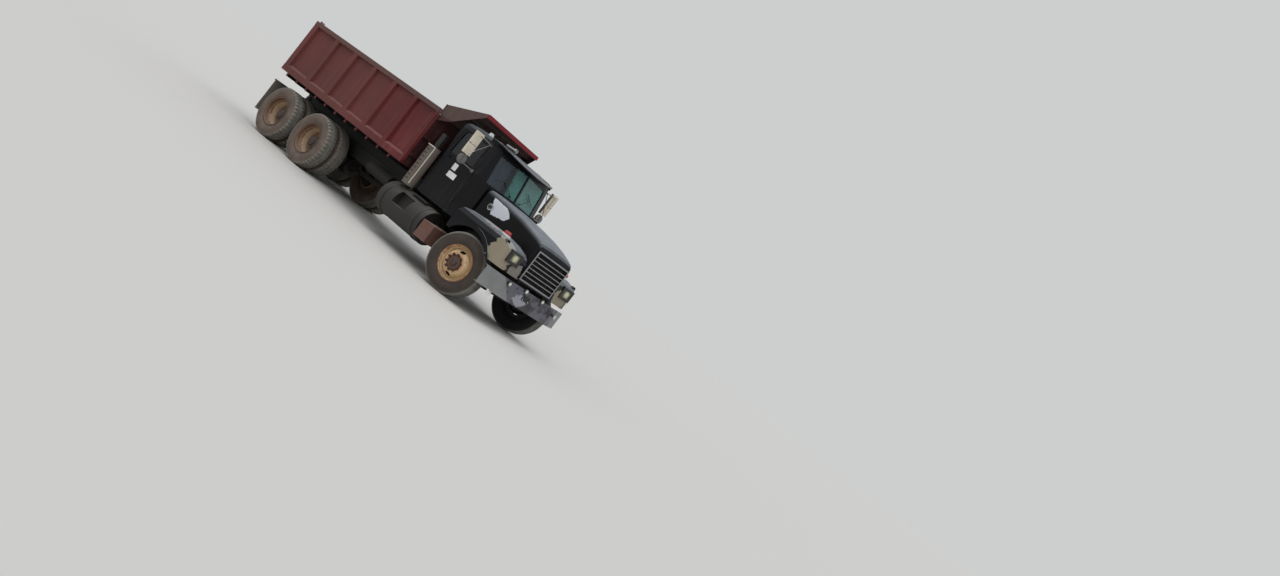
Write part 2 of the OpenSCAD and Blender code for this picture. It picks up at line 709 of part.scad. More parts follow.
// The V in plan with the corners that run on to the doors, drawn in by g
function vee_plan(g) = let (half = [[pane_half - g * 0.4, pane_vee + g * 0.9],
    [pane_half + 135 - g * 0.7, pane_vee + 52 + g * 0.8],
    [pane_half + 222 - g, pane_vee + 118 + g * 0.4], [cab_half + 20 - g, pane_vee + 190],
        [cab_half + 20 - g, 2000]])
    concat([[0, g * 1.02]], half, [for (i = [len(half) - 1:-1:0]) [-half[i][0], half[i][1]]]);

module cab_block(g) {
    intersection() {
        xy_prism(cab_plan(g), cab_low + g, cowl_z - g);
        xz_prism(cab_section(g), cab_front - 10, cab_rear + 10);
    }
    intersection() {
        xy_prism(cab_plan(g), cowl_z - 50 - g, roof_z + 40);
        in_rake() xy_prism(vee_plan(g), -300, roof_z - screen_low + 200);
        yz_prism(cab_roof_side(g), -cab_half - 10, cab_half + 10);
        xz_prism(cab_section(g), cab_front - 10, cab_rear + 10);
    }
}

// Outline of the door in [y, z], drawn in by g
function door_outline(g) = [
    [door_front + g, cab_low + 45 + g], [door_front + g, belt_z - 100], [door_front + 34 + g, belt_z - 10],
    [door_front + 122 + g, window_top + 40 - g], [door_rear - 60 - g, window_top + 40 - g],
    [door_rear - g, window_top - 40 - g * 0.5], [door_rear - g, cab_low + 130 + g * 0.5],
    [door_rear - 85 - g * 0.5, cab_low + 45 + g]];
// Outline of the door's window, let out by g
function window_outline(g) = [
    [door_front + 112 - g, belt_z - g], [door_front + 160 - g, window_top + g - 10],
    [door_rear - 110 + g, window_top + g - 10], [door_rear - 70 + g, window_top - 60 + g],
    [door_rear - 70 + g, belt_z - g]];

// Rear window: half width, lower and upper height
rear_window = [620, belt_z + 80, window_top - 40];

// A block in the plane of a windscreen pane on the left: x along the pane, y into the cab, z up its slope
module pane_block(low, high)
    in_rake() rotate([0, 0, atan2(pane_vee, pane_half)]) block(low, high);
pane_high = (screen_high - screen_low) / cos(screen_rake);

module cab_shell() color("#1d1e21") in_frame() {
    difference() {
        cab_block(0);
        cab_block(cab_wall);
        // Door openings
        both_sides() yz_prism(door_outline(0), cab_half - 190, cab_half + 20);
        // Two windscreen openings
        both_sides() pane_block([pane_post, -40, 8], [pane_len - pane_edge, 120, pane_high]);
        // Rear window
        block([-rear_window[0], cab_rear - 80, rear_window[1]], [rear_window[0], cab_rear + 20,
            rear_window[2]]);
        // Opening of the floor over the engine
        block([-300, cab_front - 10, cab_low - 10], [300, 1390, cab_low + cab_wall + 1]);
    }
    // Raised engine tunnel over the opening
    difference() {
        block([-330, cab_front + 10, cab_low + 10], [330, 1420, cab_low + 300]);
        block([-300, cab_front - 10, cab_low - 10], [300, 1390, cab_low + 270]);
    }
    // Mounts down to the rails
    both_sides() for (y = [800, 1900])
        block([rail_x - 80, y - 45, rail_top + seat_gap], [rail_x - 5, y + 45, cab_low + 5]);
}

module cab_glass() color("#6f8f92", 0.4) in_frame() {
    both_sides() pane_block([pane_post + seat_gap, 16, 8 + seat_gap],
        [pane_len - pane_edge - seat_gap, 22, pane_high - seat_gap]);
    block([-rear_window[0] + seat_gap, cab_rear - 24, rear_window[1] + seat_gap],
          [rear_window[0] - seat_gap, cab_rear - 18, rear_window[2] - seat_gap]);
}

module seats() color("#3b3632") in_frame() both_sides() {
    y = door_rear - 150;
    block([380, y - 450, cab_low + cab_wall + seat_gap], [760, y - 90, cab_low + 300]);
    yz_prism([[y - 490, cab_low + 300], [y - 10, cab_low + 300], [y, cab_low + 420], [y - 480,
        cab_low + 440]],
        330, 810);
    yz_prism([[y - 90, cab_low + 420], [y, cab_low + 420], [y + 140, cab_low + 1080], [y + 60,
        cab_low + 1090]],
        345, 795);
}

module dashboard() color("#2b2b2c") in_frame() {
    yz_prism([[cab_front + cab_wall + seat_gap, 1500], [1010, 1560], [1060, 1640], [1040, 1800], [960,
        1850],
        [cab_front + cab_wall + seat_gap, 1850]], -740, 740);
    // Steering column and wheel in front of the left seat
    rod([560, 980, 1600], [560, 1178, 1745], 22);
    translate([560, 1180, 1746]) rotate([-54, 0, 0]) {
        rotate_extrude() translate([225, 0]) circle(r = 14, $fn = 20);
        cylinder(r = 50, h = 24, center = true);
        for (a = [90, 210, 330]) rotate([0, 0, a]) translate([0, -14, -6]) cube([225, 28, 10]);
    }
}

// Front edge of the sun visor in plan, from the middle to the left, drawn in by g
visor_y = cab_front - 40;
function visor_edge(g) = [[0, visor_y + g], [400 - g * 0.2, visor_y + 48 + g],
    [640 - g * 0.5, visor_y + 144 + g * 0.85], [860 - g * 0.7, visor_y + 318 + g * 0.7], [945 - g,
        visor_y + 438]];
function visor_plan(g) = let (e = visor_edge(g)) concat(e, [[945 - g, visor_y + 518]], [[-945 + g,
    visor_y + 518]],
    [for (i = [len(e) - 1:-1:1]) [-e[i][0], e[i][1]]]);

module sun_visor() color("#17181a") in_frame() difference() {
    low = roof_z - 270;
    // A peak whose top falls towards its edge, hollow below
    intersection() {
        xy_prism(visor_plan(0), roof_z - 174, roof_z + 10);
        yz_prism([[visor_y - 82, low], [visor_y - 82, roof_z - 125], [visor_y, roof_z - 114],
            [visor_y + 188, roof_z - 66], [visor_y + 328, roof_z - 40], [visor_y + 528, roof_z - 30],
            [visor_y + 528, low]], -960, 960);
    }
    xy_prism(visor_plan(14), low, roof_z - 134);
    yz_prism([[visor_y - 42, low], [visor_y + 8, roof_z - 134], [visor_y + 198, roof_z - 84],
        [visor_y + 548, roof_z - 55], [visor_y + 548, low]], -900, 900);
    yz_prism([[visor_y + 218, low], [visor_y + 378, roof_z - 118], [visor_y + 568, roof_z - 100],
        [visor_y + 568, low]], -1000, 1000);
    cab_block(-seat_gap);
}

door_hinge_x = cab_half + 14;

module door_form() {
    difference() {
        intersection() {
            difference() {
                cab_block(0);
                cab_block(cab_wall);
            }
            yz_prism(door_outline(door_gap), cab_half - 190, cab_half + 20);
        }
        yz_prism(window_outline(0), cab_half - 190, cab_half + 20);
    }
    // Hinge barrels on the front edge and the handle
    for (z = [1330, 1860]) z_bar([door_hinge_x, door_front - 4, z], 12, 45);
    for (z = [1330, 1860]) {
        block([door_hinge_x - 8, door_front - 4, z - 45], [door_hinge_x + 8, door_front + 24, z + 45]);
        block([cab_half - 4, door_front + 12, z - 45], [door_hinge_x + 6, door_front + 80, z + 45]);
    }
    block([cab_half - 2, door_rear - 160, 1905], [cab_half + 26, door_rear - 40, 1930]);
}

module door_left() color("#1b1c1f") in_frame() door_form();
module door_right() color("#1b1c1f") in_frame() mirror([1, 0, 0]) door_form();

// Flat pane that leans with the cab's side
module door_glass_form() intersection() {
    xz_prism([[cab_half - cab_wall / 2 - 3, belt_z - 10], [cab_half - cab_wall / 2 + 3, belt_z - 10],
        [cab_half - cab_wall / 2 - 36, window_top + 10], [cab_half - cab_wall / 2 - 42,
            window_top + 10]], 900, 2000);
    yz_prism(window_outline(-seat_gap), cab_half - 190, cab_half + 20);
}

module door_glass_left() color("#6f8f92", 0.4) in_frame() door_glass_form();
module door_glass_right() color("#6f8f92", 0.4) in_frame() mirror([1, 0, 0]) door_glass_form();

mirror_y = 1180;
mirror_w = 190;
mirror_low = belt_z + 110;
mirror_high = window_top + 80;

module mirror_form() {
    // Head, with its glass towards the rear, and the round mirror below
    block([mirror_x - mirror_w / 2, mirror_y - 30, mirror_low], [mirror_x + mirror_w / 2,
        mirror_y + 26, mirror_high]);
    y_bar([mirror_x, mirror_y, mirror_low - 105], 92, 22);
    y_bar([mirror_x, mirror_y - 26, mirror_low - 105], 18, 8);
    z_bar([mirror_x, mirror_y - 36, (mirror_low - 170 + mirror_high) / 2], 9,
        (mirror_high - mirror_low + 170) / 2);
    // Arms to the door above and below, with a brace
    arm_top = [mirror_x, mirror_y - 36, mirror_high - 30];
    arm_low = [mirror_x, mirror_y - 36, mirror_low - 150];
    foot_top = [cab_half - 28, door_front + 110, window_top + 14];
    foot_low = [cab_half + 10, door_front + 60, 1942];
    rod(arm_top, foot_top, 10);
    rod(arm_low, foot_low, 10);
    rod(arm_low + [0, 0, 170], foot_top, 7);
    block(foot_low - [10 - seat_gap, 30, 30], foot_low + [6, 30, 30]);
    xz_prism([[cab_half - 40.4, window_top + 3], [cab_half - 41.2, window_top + 24], [cab_half - 22,
        window_top + 24],
        [cab_half - 22, window_top + 3]],
        foot_top.y - 30, foot_top.y + 30);
}

module mirror_left() color("#d8d2c4") in_frame() mirror_form();
module mirror_right() color("#d8d2c4") in_frame() mirror([1, 0, 0]) mirror_form();

// Hood

// Sections of the hood's middle: station, half width, height of its edge, corner radius
hood_sections = [
    [nose_y, 505, 1592, 40], [nose_y + 8, 515, 1640, 55], [nose_y + 45, 528, 1682, 70],
    [nose_y + 150, 545, 1722, 85], [nose_y + 350, 578, 1772, 95], [nose_y + 650, 622, 1826, 100],
    [nose_y + 1050, 682, 1870, 105], [hood_rear, 750, 1898, 110]];
hood_low = 1180;

// One section of the hood drawn in by g
function hood_outline(s, g) = let (
    w = s[1] - g, z = s[2] - g, r = s[3],
    half = concat([[w, hood_low - (g > 0 ? 300 : 0)]], arc(w - r, z - r, r, 0, 80, 5), [[w * 0.45,
        z + r * 0.12 + 4]]))
    concat(half, [for (i = [len(half) - 1:-1:0]) [-half[i][0], half[i][1]]]);

module hood_middle(g) loft([for (i = [0:len(hood_sections) - 1]) let (s = hood_sections[i],
    y = s[0] + (g == 0 ? 0 : i == 0 ? g : i == len(hood_sections) - 1 ? 20 : g * 0.4)) [y,
        hood_outline(s, g)]]);

// The fenders and the nose panel as one outline in each direction, drawn in by g
function fender_side(g) = [
    [nose_y + 12 + g, 945 - (g > 0 ? 60 : 0)], [nose_y + 12 + g, 1210], [nose_y + 40 + g, 1290 - g],
    [nose_y + 120 + g * 0.4, 1352 - g], [nose_y + 320, 1410 - g], [nose_y + 620, 1446 - g],
    [100, 1446 - g], [380, 1424 - g], [540 - g * 0.5, 1385 - g], [600 - g, 1310 - g * 0.4],
    [620 - g, 1130], [610 - g, 945 - (g > 0 ? 60 : 0)]];
function fender_plan(g) = [
    [0, nose_y + 12 + g], [960, nose_y + 12 + g], [1070 - g * 0.4, nose_y + 60 + g * 0.8],
    [1140 - g * 0.8, nose_y + 150 + g * 0.4], [fender_half - g, nose_y + 290],
    [fender_half - g, 640 - g], [0, 640 - g]];
function fender_section(g) = [
    [0, 800], [fender_half - g, 800], [fender_half - g, 1290 - g * 0.5], [fender_half - 26 - g * 0.7,
        1370 - g * 0.7],
    [fender_half - 95 - g * 0.4, 1424 - g], [fender_half - 230, 1448 - g], [0, 1448 - g]];

module fender_block(g) intersection() {
    yz_prism(fender_side(g), 0, fender_half + 20);
    xy_prism(fender_plan(g), 800, 1500);
    xz_prism(fender_section(g), nose_y, 700);
}

lamp_x = 850;
lamp_z = 1208;
bezel_w = 330;
bezel_h = 225;
grille_low = 975;
grille_top = 1565;

module hood() color("#1c1d20") in_frame() {
    difference() {
        union() {
            hood_middle(0);
            both_sides() fender_block(0);
        }
        hood_middle(hood_t);
        both_sides() {
            fender_block(hood_t);
            // Wheel arch, open at the side
            x_bar([1000, 0, arch_z], arch_r, 300);
            // Hole for a headlamp bezel
            block([lamp_x - bezel_w / 2, nose_y - 10, lamp_z - bezel_h / 2],
                  [lamp_x + bezel_w / 2, nose_y + 60, lamp_z + bezel_h / 2]);
        }
        // Hole for the grille
        block([-grille_half, nose_y - 10, grille_low], [grille_half, nose_y + 40, grille_top]);
        block([-400, nose_y + 60, 700], [400, hood_rear + 50, hood_low - 30]);
    }
    // Raised lips round the arches
    both_sides() difference() {
        x_bar([fender_half + 9, 0, arch_z], arch_r + 72, 12);
        x_bar([fender_half + 9, 0, arch_z], arch_r, 13);
        block([fender_half - 20, -900, -400], [fender_half + 40, 900, 960]);
    }
    // Pivot ears under the nose
    both_sides() for (x = [hood_pivot_x - 34, hood_pivot_x + 14]) difference() {
        yz_prism([[nose_y + 14, grille_low - 4], [nose_y + 80, grille_low - 4], [hood_pivot_y + 26,
            hood_pivot_z - 10],
            [hood_pivot_y + 8, hood_pivot_z - 24], [hood_pivot_y - 10, hood_pivot_z - 22], [nose_y + 2,
                hood_pivot_z + 10]],
            x, x + 20);
        x_bar([x + 10, hood_pivot_y, hood_pivot_z], 14 + run_gap, 12);
    }
    block([-grille_half - 40, nose_y + 2, 945], [grille_half + 40, nose_y + 24, grille_low - 2]);
}

module grille() color("#a9abad") in_frame() {
    bar_pitch = (grille_top - grille_low - 60) / (grille_bars + 1);
    difference() {
        block([-grille_half + seat_gap, nose_y - 24, grille_low + seat_gap],
              [grille_half - seat_gap, nose_y + 12, grille_top - seat_gap]);
        block([-grille_half + 26, nose_y - 40, grille_low + 26], [grille_half - 26, nose_y + 40,
            grille_top - 26]);
    }
    // Bars, each with a sloping face
    for (i = [1:grille_bars]) {
        z = grille_low + 30 + bar_pitch * i;
        yz_prism([[nose_y - 20, z - 9], [nose_y - 20, z + 3], [nose_y + 6, z + 12], [nose_y + 6, z + 5]],
            -grille_half + 24, grille_half - 24);
    }
    // Upright slats behind the bars
    slats = 22;
    for (i = [1:slats]) {
        x = -grille_half + 26 + (2 * grille_half - 52) * i / (slats + 1);
        block([x - 3, nose_y + 2, grille_low + 24], [x + 3, nose_y + 12, grille_top - 24]);
    }
}

module headlamps() color("#c9c4a8") in_frame() both_sides() {
    // Bezel with the square lamp set into it
    difference() {
        block([lamp_x - bezel_w / 2 + seat_gap, nose_y - 6, lamp_z - bezel_h / 2 + seat_gap],
              [lamp_x + bezel_w / 2 - seat_gap, nose_y + 50, lamp_z + bezel_h / 2 - seat_gap]);
        block([lamp_x - 100, nose_y - 20, lamp_z - 72], [lamp_x + 100, nose_y + 34, lamp_z + 72]);
    }
    block([lamp_x - 98, nose_y + 6, lamp_z - 70], [lamp_x + 98, nose_y + 35, lamp_z + 70]);
}

// Tipping body

side_x = bed_half - rib_depth;
floor_z = bed_low + 35;
sill_x = rail_x - rail_flange;
sill_low = rail_top + 6;
nose_r = tip_z - sill_low;
house_half = 165;
house_top = 2360;
house_back = 300;

module bed_floor() color("#4a2a26") in_frame() {
    difference() {
        union() {
            // Floor plate, cross-members and the two long sills
            block([-side_x + sheet_t + seat_gap, bed_front + sheet_t + seat_gap, floor_z - 10],
                  [side_x - sheet_t - seat_gap, bed_rear - 70, floor_z]);
            for (i = [0:10]) let (first = bed_front + 420, y = first + (bed_rear - 205 - first) * i / 10)
                block([-side_x + sheet_t + seat_gap, y - 30, floor_z - 100],
                    [side_x - sheet_t - seat_gap, y + 30, floor_z - 9]);
            both_sides() yz_prism(concat([[bed_front + 40, floor_z - 9], [bed_front + 40, sill_low + 90],
                [bed_front + 130, sill_low]], arc(tip_y, tip_z, nose_r, 270, 370, 10),
                [[tip_y + nose_r + 40, floor_z - 9]]), sill_x, rail_x - 4);
        }
        // Room for the hoist's recess and for the sides' end posts
        block([-house_half - sheet_t - seat_gap, bed_front - 10, sill_low - 10],
              [house_half + sheet_t + seat_gap, bed_front + house_back + sheet_t + seat_gap, floor_z + 10]);
        both_sides() block([side_x - rail_lap - seat_gap, bed_rear - post_w - seat_gap, bed_low - 10],
              [side_x, bed_rear, floor_z + 10]);
        both_sides() x_bar([rail_x, tip_y, tip_z], tip_r + run_gap, 120);
    }
}

// How far the top rail and the end post reach inside the side sheet, and the end post's width
rail_lap = 36;
post_w = 144;

module side_form() {
    y0 = bed_front;
    y1 = bed_rear;
    // Side sheet
    block([side_x - sheet_t, y0, bed_low], [side_x, y1, bed_top - 20]);
    // Top rail, folded to a box with a sloping outer shoulder
    xz_prism([[side_x - rail_lap, bed_top], [bed_half - 8, bed_top], [bed_half, bed_top - 8],
        [bed_half, bed_top - top_rail_h], [side_x - 1, bed_top - top_rail_h - 10], [side_x - rail_lap,
            bed_top - top_rail_h]], y0, y1);
    // Bottom rail with a sloping upper ledge
    xz_prism([[side_x - 1, bed_low], [bed_half - 6, bed_low], [bed_half, bed_low + 8],
        [bed_half, bed_low + low_rail_h - 45], [side_x - 1, bed_low + low_rail_h]], y0, y1);
    // Ribs with bevelled sides
    for (i = [0:4]) rib_at(bed_front + rib_pitch * (i + 1), rib_w);
    rib_at(y1 - post_w / 2, post_w);
    block([side_x - rail_lap, y1 - post_w, bed_low], [side_x - 1, y1, bed_top - 20]);
    rib_at(y0 + 30, 60);
    // Ear of the tailgate's hinge
    difference() {
        yz_prism(concat([[gate_hinge_y - 80, bed_top - 6]],
            [for (p = arc(gate_hinge_y, gate_hinge_z, 24, -40, 110, 8)) p]), side_x - 40, side_x - 10);
        x_bar([side_x - 25, gate_hinge_y, gate_hinge_z], 12 + run_gap, 20);
    }
}

module rib_at(y, w) xy_prism([[side_x - 1, y - w / 2 - 14], [bed_half - 4, y - w / 2], [bed_half - 4,
    y + w / 2],
    [side_x - 1, y + w / 2 + 14]], bed_low + 60, bed_top - top_rail_h + 10);

module bed_sides() color("#7a2420") in_frame() both_sides() side_form();

// The recess for the hoist as a wedge in [y, z], let out by g
function house_profile(g) = [
    [bed_front - 1, house_top + 20 + g], [bed_front + 40 + g, house_top + g],
    [bed_front + house_back + g, floor_z - 10], [bed_front - 1, floor_z - 10]];

module bulkhead() color("#5a1f1d") in_frame() {
    difference() {
        union() {
            difference() {
                block([-side_x + sheet_t + seat_gap, bed_front, bed_low],
                      [side_x - sheet_t - seat_gap, bed_front + sheet_t, guard_root_z]);
                // Notches round the sides' top rails
                both_sides() block([side_x - rail_lap - seat_gap, bed_front - 1, bed_top - top_rail_h - 12],
                    [side_x, bed_front + sheet_t + 1, bed_top + seat_gap]);
            }
            yz_prism(house_profile(sheet_t), -house_half - sheet_t, house_half + sheet_t);
        }
        yz_prism([[bed_front - 10, house_top + 20], [bed_front + 40, house_top],
            [bed_front + house_back, floor_z - 11],
            [bed_front + house_back, bed_low - 50], [bed_front - 10, bed_low - 50]], -house_half,
                house_half);
    }
    // Stiffeners on the front face
    for (z = [1500, 1900]) both_sides() block([house_half + 20, bed_front - 45, z], [side_x - 20,
        bed_front + 1, z + 70]);
    block([-side_x + 60, bed_front - 45, house_top + 60], [side_x - 60, bed_front + 1, house_top + 140]);
    // Bracket with the eye pin of the hoist
    both_sides() yz_prism([[bed_front + 1, house_top + 140], [bed_front + 1, house_top + 20],
        [eye_y + 34, eye_z - 40],
        [eye_y - 12, eye_z - 40], [eye_y - 40, eye_z - 5], [eye_y - 30, eye_z + 36], [eye_y + 34,
            eye_z + 44]],
        62, 84);
    // The pin as a stub on each ear, with the eye free between them
    both_sides() x_bar([66, eye_y, eye_z], 24, 25);
}

guard_root_z = bed_top + 125;
guard_t = 10;

module cab_guard() color("#4d1a1c") in_frame() {
    root_y = bed_front - seat_gap;
    root_half = side_x - 30;
    // Sloping roof plate, tapering towards the front
    slope = atan((guard_z - guard_root_z) / (root_y - guard_front));
    intersection() {
        yz_prism([[root_y, guard_root_z], [guard_front, guard_z], [guard_front, guard_z - guard_t],
            [root_y, guard_root_z - guard_t]], -root_half, root_half);
        xy_prism([[-root_half, root_y], [-guard_half, guard_front], [guard_half, guard_front],
            [root_half, root_y]],
            guard_root_z - 100, guard_z + 20);
    }
    // Front lip
    yz_prism([[guard_front - 30, guard_z - 72], [guard_front - 30, guard_z + 4], [guard_front + 12,
        guard_z + 4 - 16],
        [guard_front + 12, guard_z - 30], [guard_front - 12, guard_z - 30], [guard_front - 12,
            guard_z - 72]],
        -guard_half, guard_half);
    // Side plates below the roof, cut on a slope
    both_sides() intersection() {
        yz_prism([[root_y, guard_root_z], [guard_front, guard_z], [guard_front, guard_z - 70],
            [root_y - 190, guard_root_z - 240], [root_y, guard_root_z - 340]], 700, root_half + 20);
        xy_prism([[root_half - guard_t, root_y], [guard_half - guard_t, guard_front], [guard_half,
            guard_front],
            [root_half, root_y]], 2200, guard_z + 20);
    }
    // Ribs under the roof
    for (u = [0.35, 0.7]) {
        y = guard_front + (root_y - guard_front) * u;
        half = guard_half + (root_half - guard_half) * u;
        z = guard_z + (guard_root_z - guard_z) * u;
        translate([0, y, z - guard_t / 2]) rotate([-slope, 0, 0])
            block([-half + 6, -22, -42], [half - 6, 22, 0]);
    }
}

gate_hinge_y = bed_rear - 30;
gate_hinge_z = bed_top + 16;
gate_half = side_x - 44;

module tailgate() color("#6d2522") in_frame() {
    // Plate with a frame and ribs behind it
    block([-gate_half, bed_rear - 62, floor_z + 8], [gate_half, bed_rear - 50, bed_top - 22]);
    for (x = [-gate_half, -580, -40, 500, gate_half - 80])
        block([x, bed_rear - 51, floor_z + 8], [x + 80, tail_y, bed_top - 22]);
    for (z = [floor_z + 8, (floor_z + bed_top) / 2 - 40, bed_top - 102])
        block([-gate_half, bed_rear - 51, z], [gate_half, tail_y - 4, z + 80]);
    // Hinge arms and pins at the top
    both_sides() {
        yz_prism([[gate_hinge_y - 24, bed_top - 60], [gate_hinge_y + 60, bed_top - 60],
            [gate_hinge_y + 26, gate_hinge_z - 4],
            [gate_hinge_y + 18, gate_hinge_z + 20], [gate_hinge_y - 14, gate_hinge_z + 22],
            [gate_hinge_y - 26, gate_hinge_z - 6]], side_x - 92, side_x - 68);
        x_bar([side_x - 52, gate_hinge_y, gate_hinge_z], 12, 46);
    }
}

// Hoist

hoist_axis = [0, eye_y - hoist_y, eye_z - hoist_z];
hoist_len = norm(hoist_axis);
hoist_lean = atan2(eye_y - hoist_y, eye_z - hoist_z);

// Places a form that stands on its lower pivot along +Z
module on_hoist() translate([0, hoist_y, hoist_z]) rotate([-hoist_lean, 0, 0]) children();

stage_gap = 0.7;
stage_wall = 11;
function stage_r(i) = barrel_r - i * (stage_wall + stage_gap);

module hoist_tube(i, low, high) difference() {
    translate([0, 0, low]) cylinder(r = stage_r(i), h = high - low);
    translate([0, 0, low + 30]) cylinder(r = stage_r(i) - stage_wall, h = high - low);
}

module hoist_barrel() color("#2a2827") in_frame() on_hoist() difference() {
    union() {
        hoist_tube(0, -42, hoist_len - 130);
        translate([0, 0, hoist_len - 190]) difference() {
            cylinder(r = barrel_r + 14, h = 60);
            translate([0, 0, -1]) cylinder(r = barrel_r - 1, h = 62);
        }
        x_bar([0, 0, 0], 52, barrel_r + 12);
    }
    x_bar([0, 0, 0], 28 + run_gap, barrel_r + 40);
    translate([0, 0, 55]) cylinder(r = barrel_r - stage_wall, h = hoist_len);
}

module hoist_stage_1() color("#77726a") in_frame() on_hoist() hoist_tube(1, 60, hoist_len - 110);
module hoist_stage_2() color("#8a857c") in_frame() on_hoist() hoist_tube(2, 95, hoist_len - 90);

module hoist_stage_3() color("#9a958c") in_frame() on_hoist() difference() {
    union() {
        translate([0, 0, 130]) cylinder(r = stage_r(3), h = hoist_len - 190);
        translate([0, 0, hoist_len - 75]) cylinder(r = 40, h = 60);
        x_bar([0, 0, hoist_len], 46, 40);
    }
    x_bar([0, 0, hoist_len], 24 + run_gap, 60);
}

// Wheels, each drawn for the left side with its middle at the origin and its face towards +X

rim_half = 125;
flange_t = 13;
// Half the width of a tyre's bead between the rim's flanges
bead_half = rim_half - flange_t - 2;

// Half section of a tyre as [radius, offset] with rounded shoulders
function tyre_section() = let (w = tyre_w / 2, r = tyre_r) concat(
    [[rim_r + seat_gap, -bead_half], [rim_r + 17, -bead_half], [rim_r + 30, -w * 0.9]],
    arc(rim_r + 120, -w + 14, 14, 250, 180, 3),
    [[r - 60, -w * 0.93], [r - 22, -w * 0.86]],
    arc(r - 18, -w * 0.74 + 4, 18, 300, 340, 2), [[r, -w * 0.66], [r, w * 0.66]],
    arc(r - 18, w * 0.74 - 4, 18, 20, 60, 2),
    [[r - 22, w * 0.86], [r - 60, w * 0.93]],
    arc(rim_r + 120, w - 14, 14, 180, 110, 3),
    [[rim_r + 30, w * 0.9], [rim_r + 17, bead_half], [rim_r + seat_gap, bead_half]]);

module turn_x(points) rotate([0, 90, 0]) rotate_extrude($fn = 72) polygon(points);

module tyre() turn_x([for (p = tyre_section()) [p[0], p[1]]]);

disc_t = 12;

// Rim barrel with both flanges
module rim_barrel() turn_x([
    [rim_r, -rim_half + flange_t + 1], [rim_r + 16, -rim_half + flange_t], [rim_r + 16, -rim_half],
        [rim_r - 6, -rim_half - 2],
    [rim_r - 14, -rim_half + 10], [rim_r - 14, -60], [rim_r - 34, -40], [rim_r - 34, 40], [rim_r - 14, 60],
    [rim_r - 14, rim_half - 10], [rim_r - 6, rim_half + 2], [rim_r + 16, rim_half],
    [rim_r + 16, rim_half - flange_t], [rim_r, rim_half - flange_t - 1]]);

// Disc from the barrel to a mounting face at offset f, with two hand holes
module wheel_disc(f, hub_bore) {
    dir = f > 0 ? 1 : -1;
    start = rim_r - 30;
    difference() {
        turn_x([[start, f - dir * 118], [start - 34, f - dir * 112], [start - 62, f - dir * 40],
            [start - 84, f - dir * 8],
            [start - 108, f], [hub_bore, f], [hub_bore, f - dir * disc_t], [start - 112, f - dir * disc_t],
            [start - 94, f - dir * 22], [start - 74, f - dir * 50], [start - 46, f - dir * 122],
                [start, f - dir * 132]]);
        for (a = [0, 180]) rotate([a, 0, 0]) {
            translate([0, 30, start - 72]) rotate([0, 90, 0]) cylinder(r = 24, h = 400, center = true);
            translate([0, -30, start - 72]) rotate([0, 90, 0]) cylinder(r = 24, h = 400, center = true);
            translate([-200, -30, start - 96]) cube([400, 60, 48]);
        }
    }
    // Wheel nuts
    for (i = [0:9]) rotate([36 * i, 0, 0]) translate([f - 2, 0, 143])
        rotate([0, 90, 0]) cylinder(r = 19, h = 26, $fn = 6);
}

front_face = 148;

module front_rim() {
    rim_barrel();
    wheel_disc(front_face, 60);
    // Hub with its cap, bored for the spindle
    difference() {
        turn_x([[0, front_face + 42], [52, front_face + 40], [62, front_face + 20], [112, front_face + 14],
            [112, front_face - 20], [95, -60], [90, -72], [0, -72]]);
        translate([-73, 0, 0]) rotate([0, 90, 0]) cylinder(r = spindle_r + run_gap, h = 225);
    }
    // Brake drum
    turn_x([[drum_r, -84], [drum_r, 30], [100, 34], [88, 20], [drum_r - 14, 16], [drum_r - 14, -84]]);
}

// A pair of rear rims on one hub, mounting face at the origin
module rear_rims() {
    for (dir = [-1, 1]) {
        translate([dir * dual_pitch / 2, 0, 0]) rim_barrel();
        translate([dir * dual_pitch / 2, 0, 0]) mirror([dir < 0 ? 1 : 0, 0, 0])
            rear_disc();
    }
    difference() {
        turn_x([[0, 190], [78, 186], [92, 160], [128, 150], [128, -40], [112, -330], [0, -330]]);
        translate([-331, 0, 0]) rotate([0, 90, 0]) cylinder(r = rear_spindle_r + run_gap, h = 495);
    }
    turn_x([[drum_r, -335], [drum_r, -130], [100, -124], [100, -140], [drum_r - 16, -146],
        [drum_r - 16, -335]]);
    for (i = [0:9]) rotate([36 * i, 0, 0]) translate([0, 0, 166])
        rotate([0, 90, 0]) cylinder(r = 19, h = 44, $fn = 6);
}

// Deep-dished disc of one rear wheel whose rim's middle is at the origin
module rear_disc() {
    f = -dual_pitch / 2;
    start = rim_r - 30;
    difference() {
        turn_x([[start, 20], [start - 40, f + 96], [start - 66, f + 30], [start - 92, f + disc_t],
            [100, f + disc_t],
            [100, f], [start - 88, f], [start - 56, f + 20], [start - 28, f + 90], [start, -6]]);
        for (a = [0, 180]) rotate([a, 0, 0]) for (dy = [-26, 26])
            translate([0, dy, start - 48]) rotate([0, 90, 0]) cylinder(r = 22, h = 400, center = true);
    }
}

module front_wheel_place() translate([front_track_half - kingpin_x, 0, 0]) children();

module front_tyre_left() color("#4b4844") in_frame() on_left_kingpin() front_wheel_place() tyre();
module front_rim_left() color("#b59a72") in_frame() on_left_kingpin() front_wheel_place() front_rim();
module front_tyre_right() color("#4b4844") in_frame() on_right_kingpin() front_wheel_place() tyre();
module front_rim_right() color("#b59a72") in_frame() on_right_kingpin() front_wheel_place() front_rim();

// Rear pair on axle k, for the left side
module rear_place(k) translate([rear_track_half, axle_y[k], axle_z]) children();
module tyre_pair() for (dir = [-1, 1]) translate([dir * dual_pitch / 2, 0, 0]) tyre();

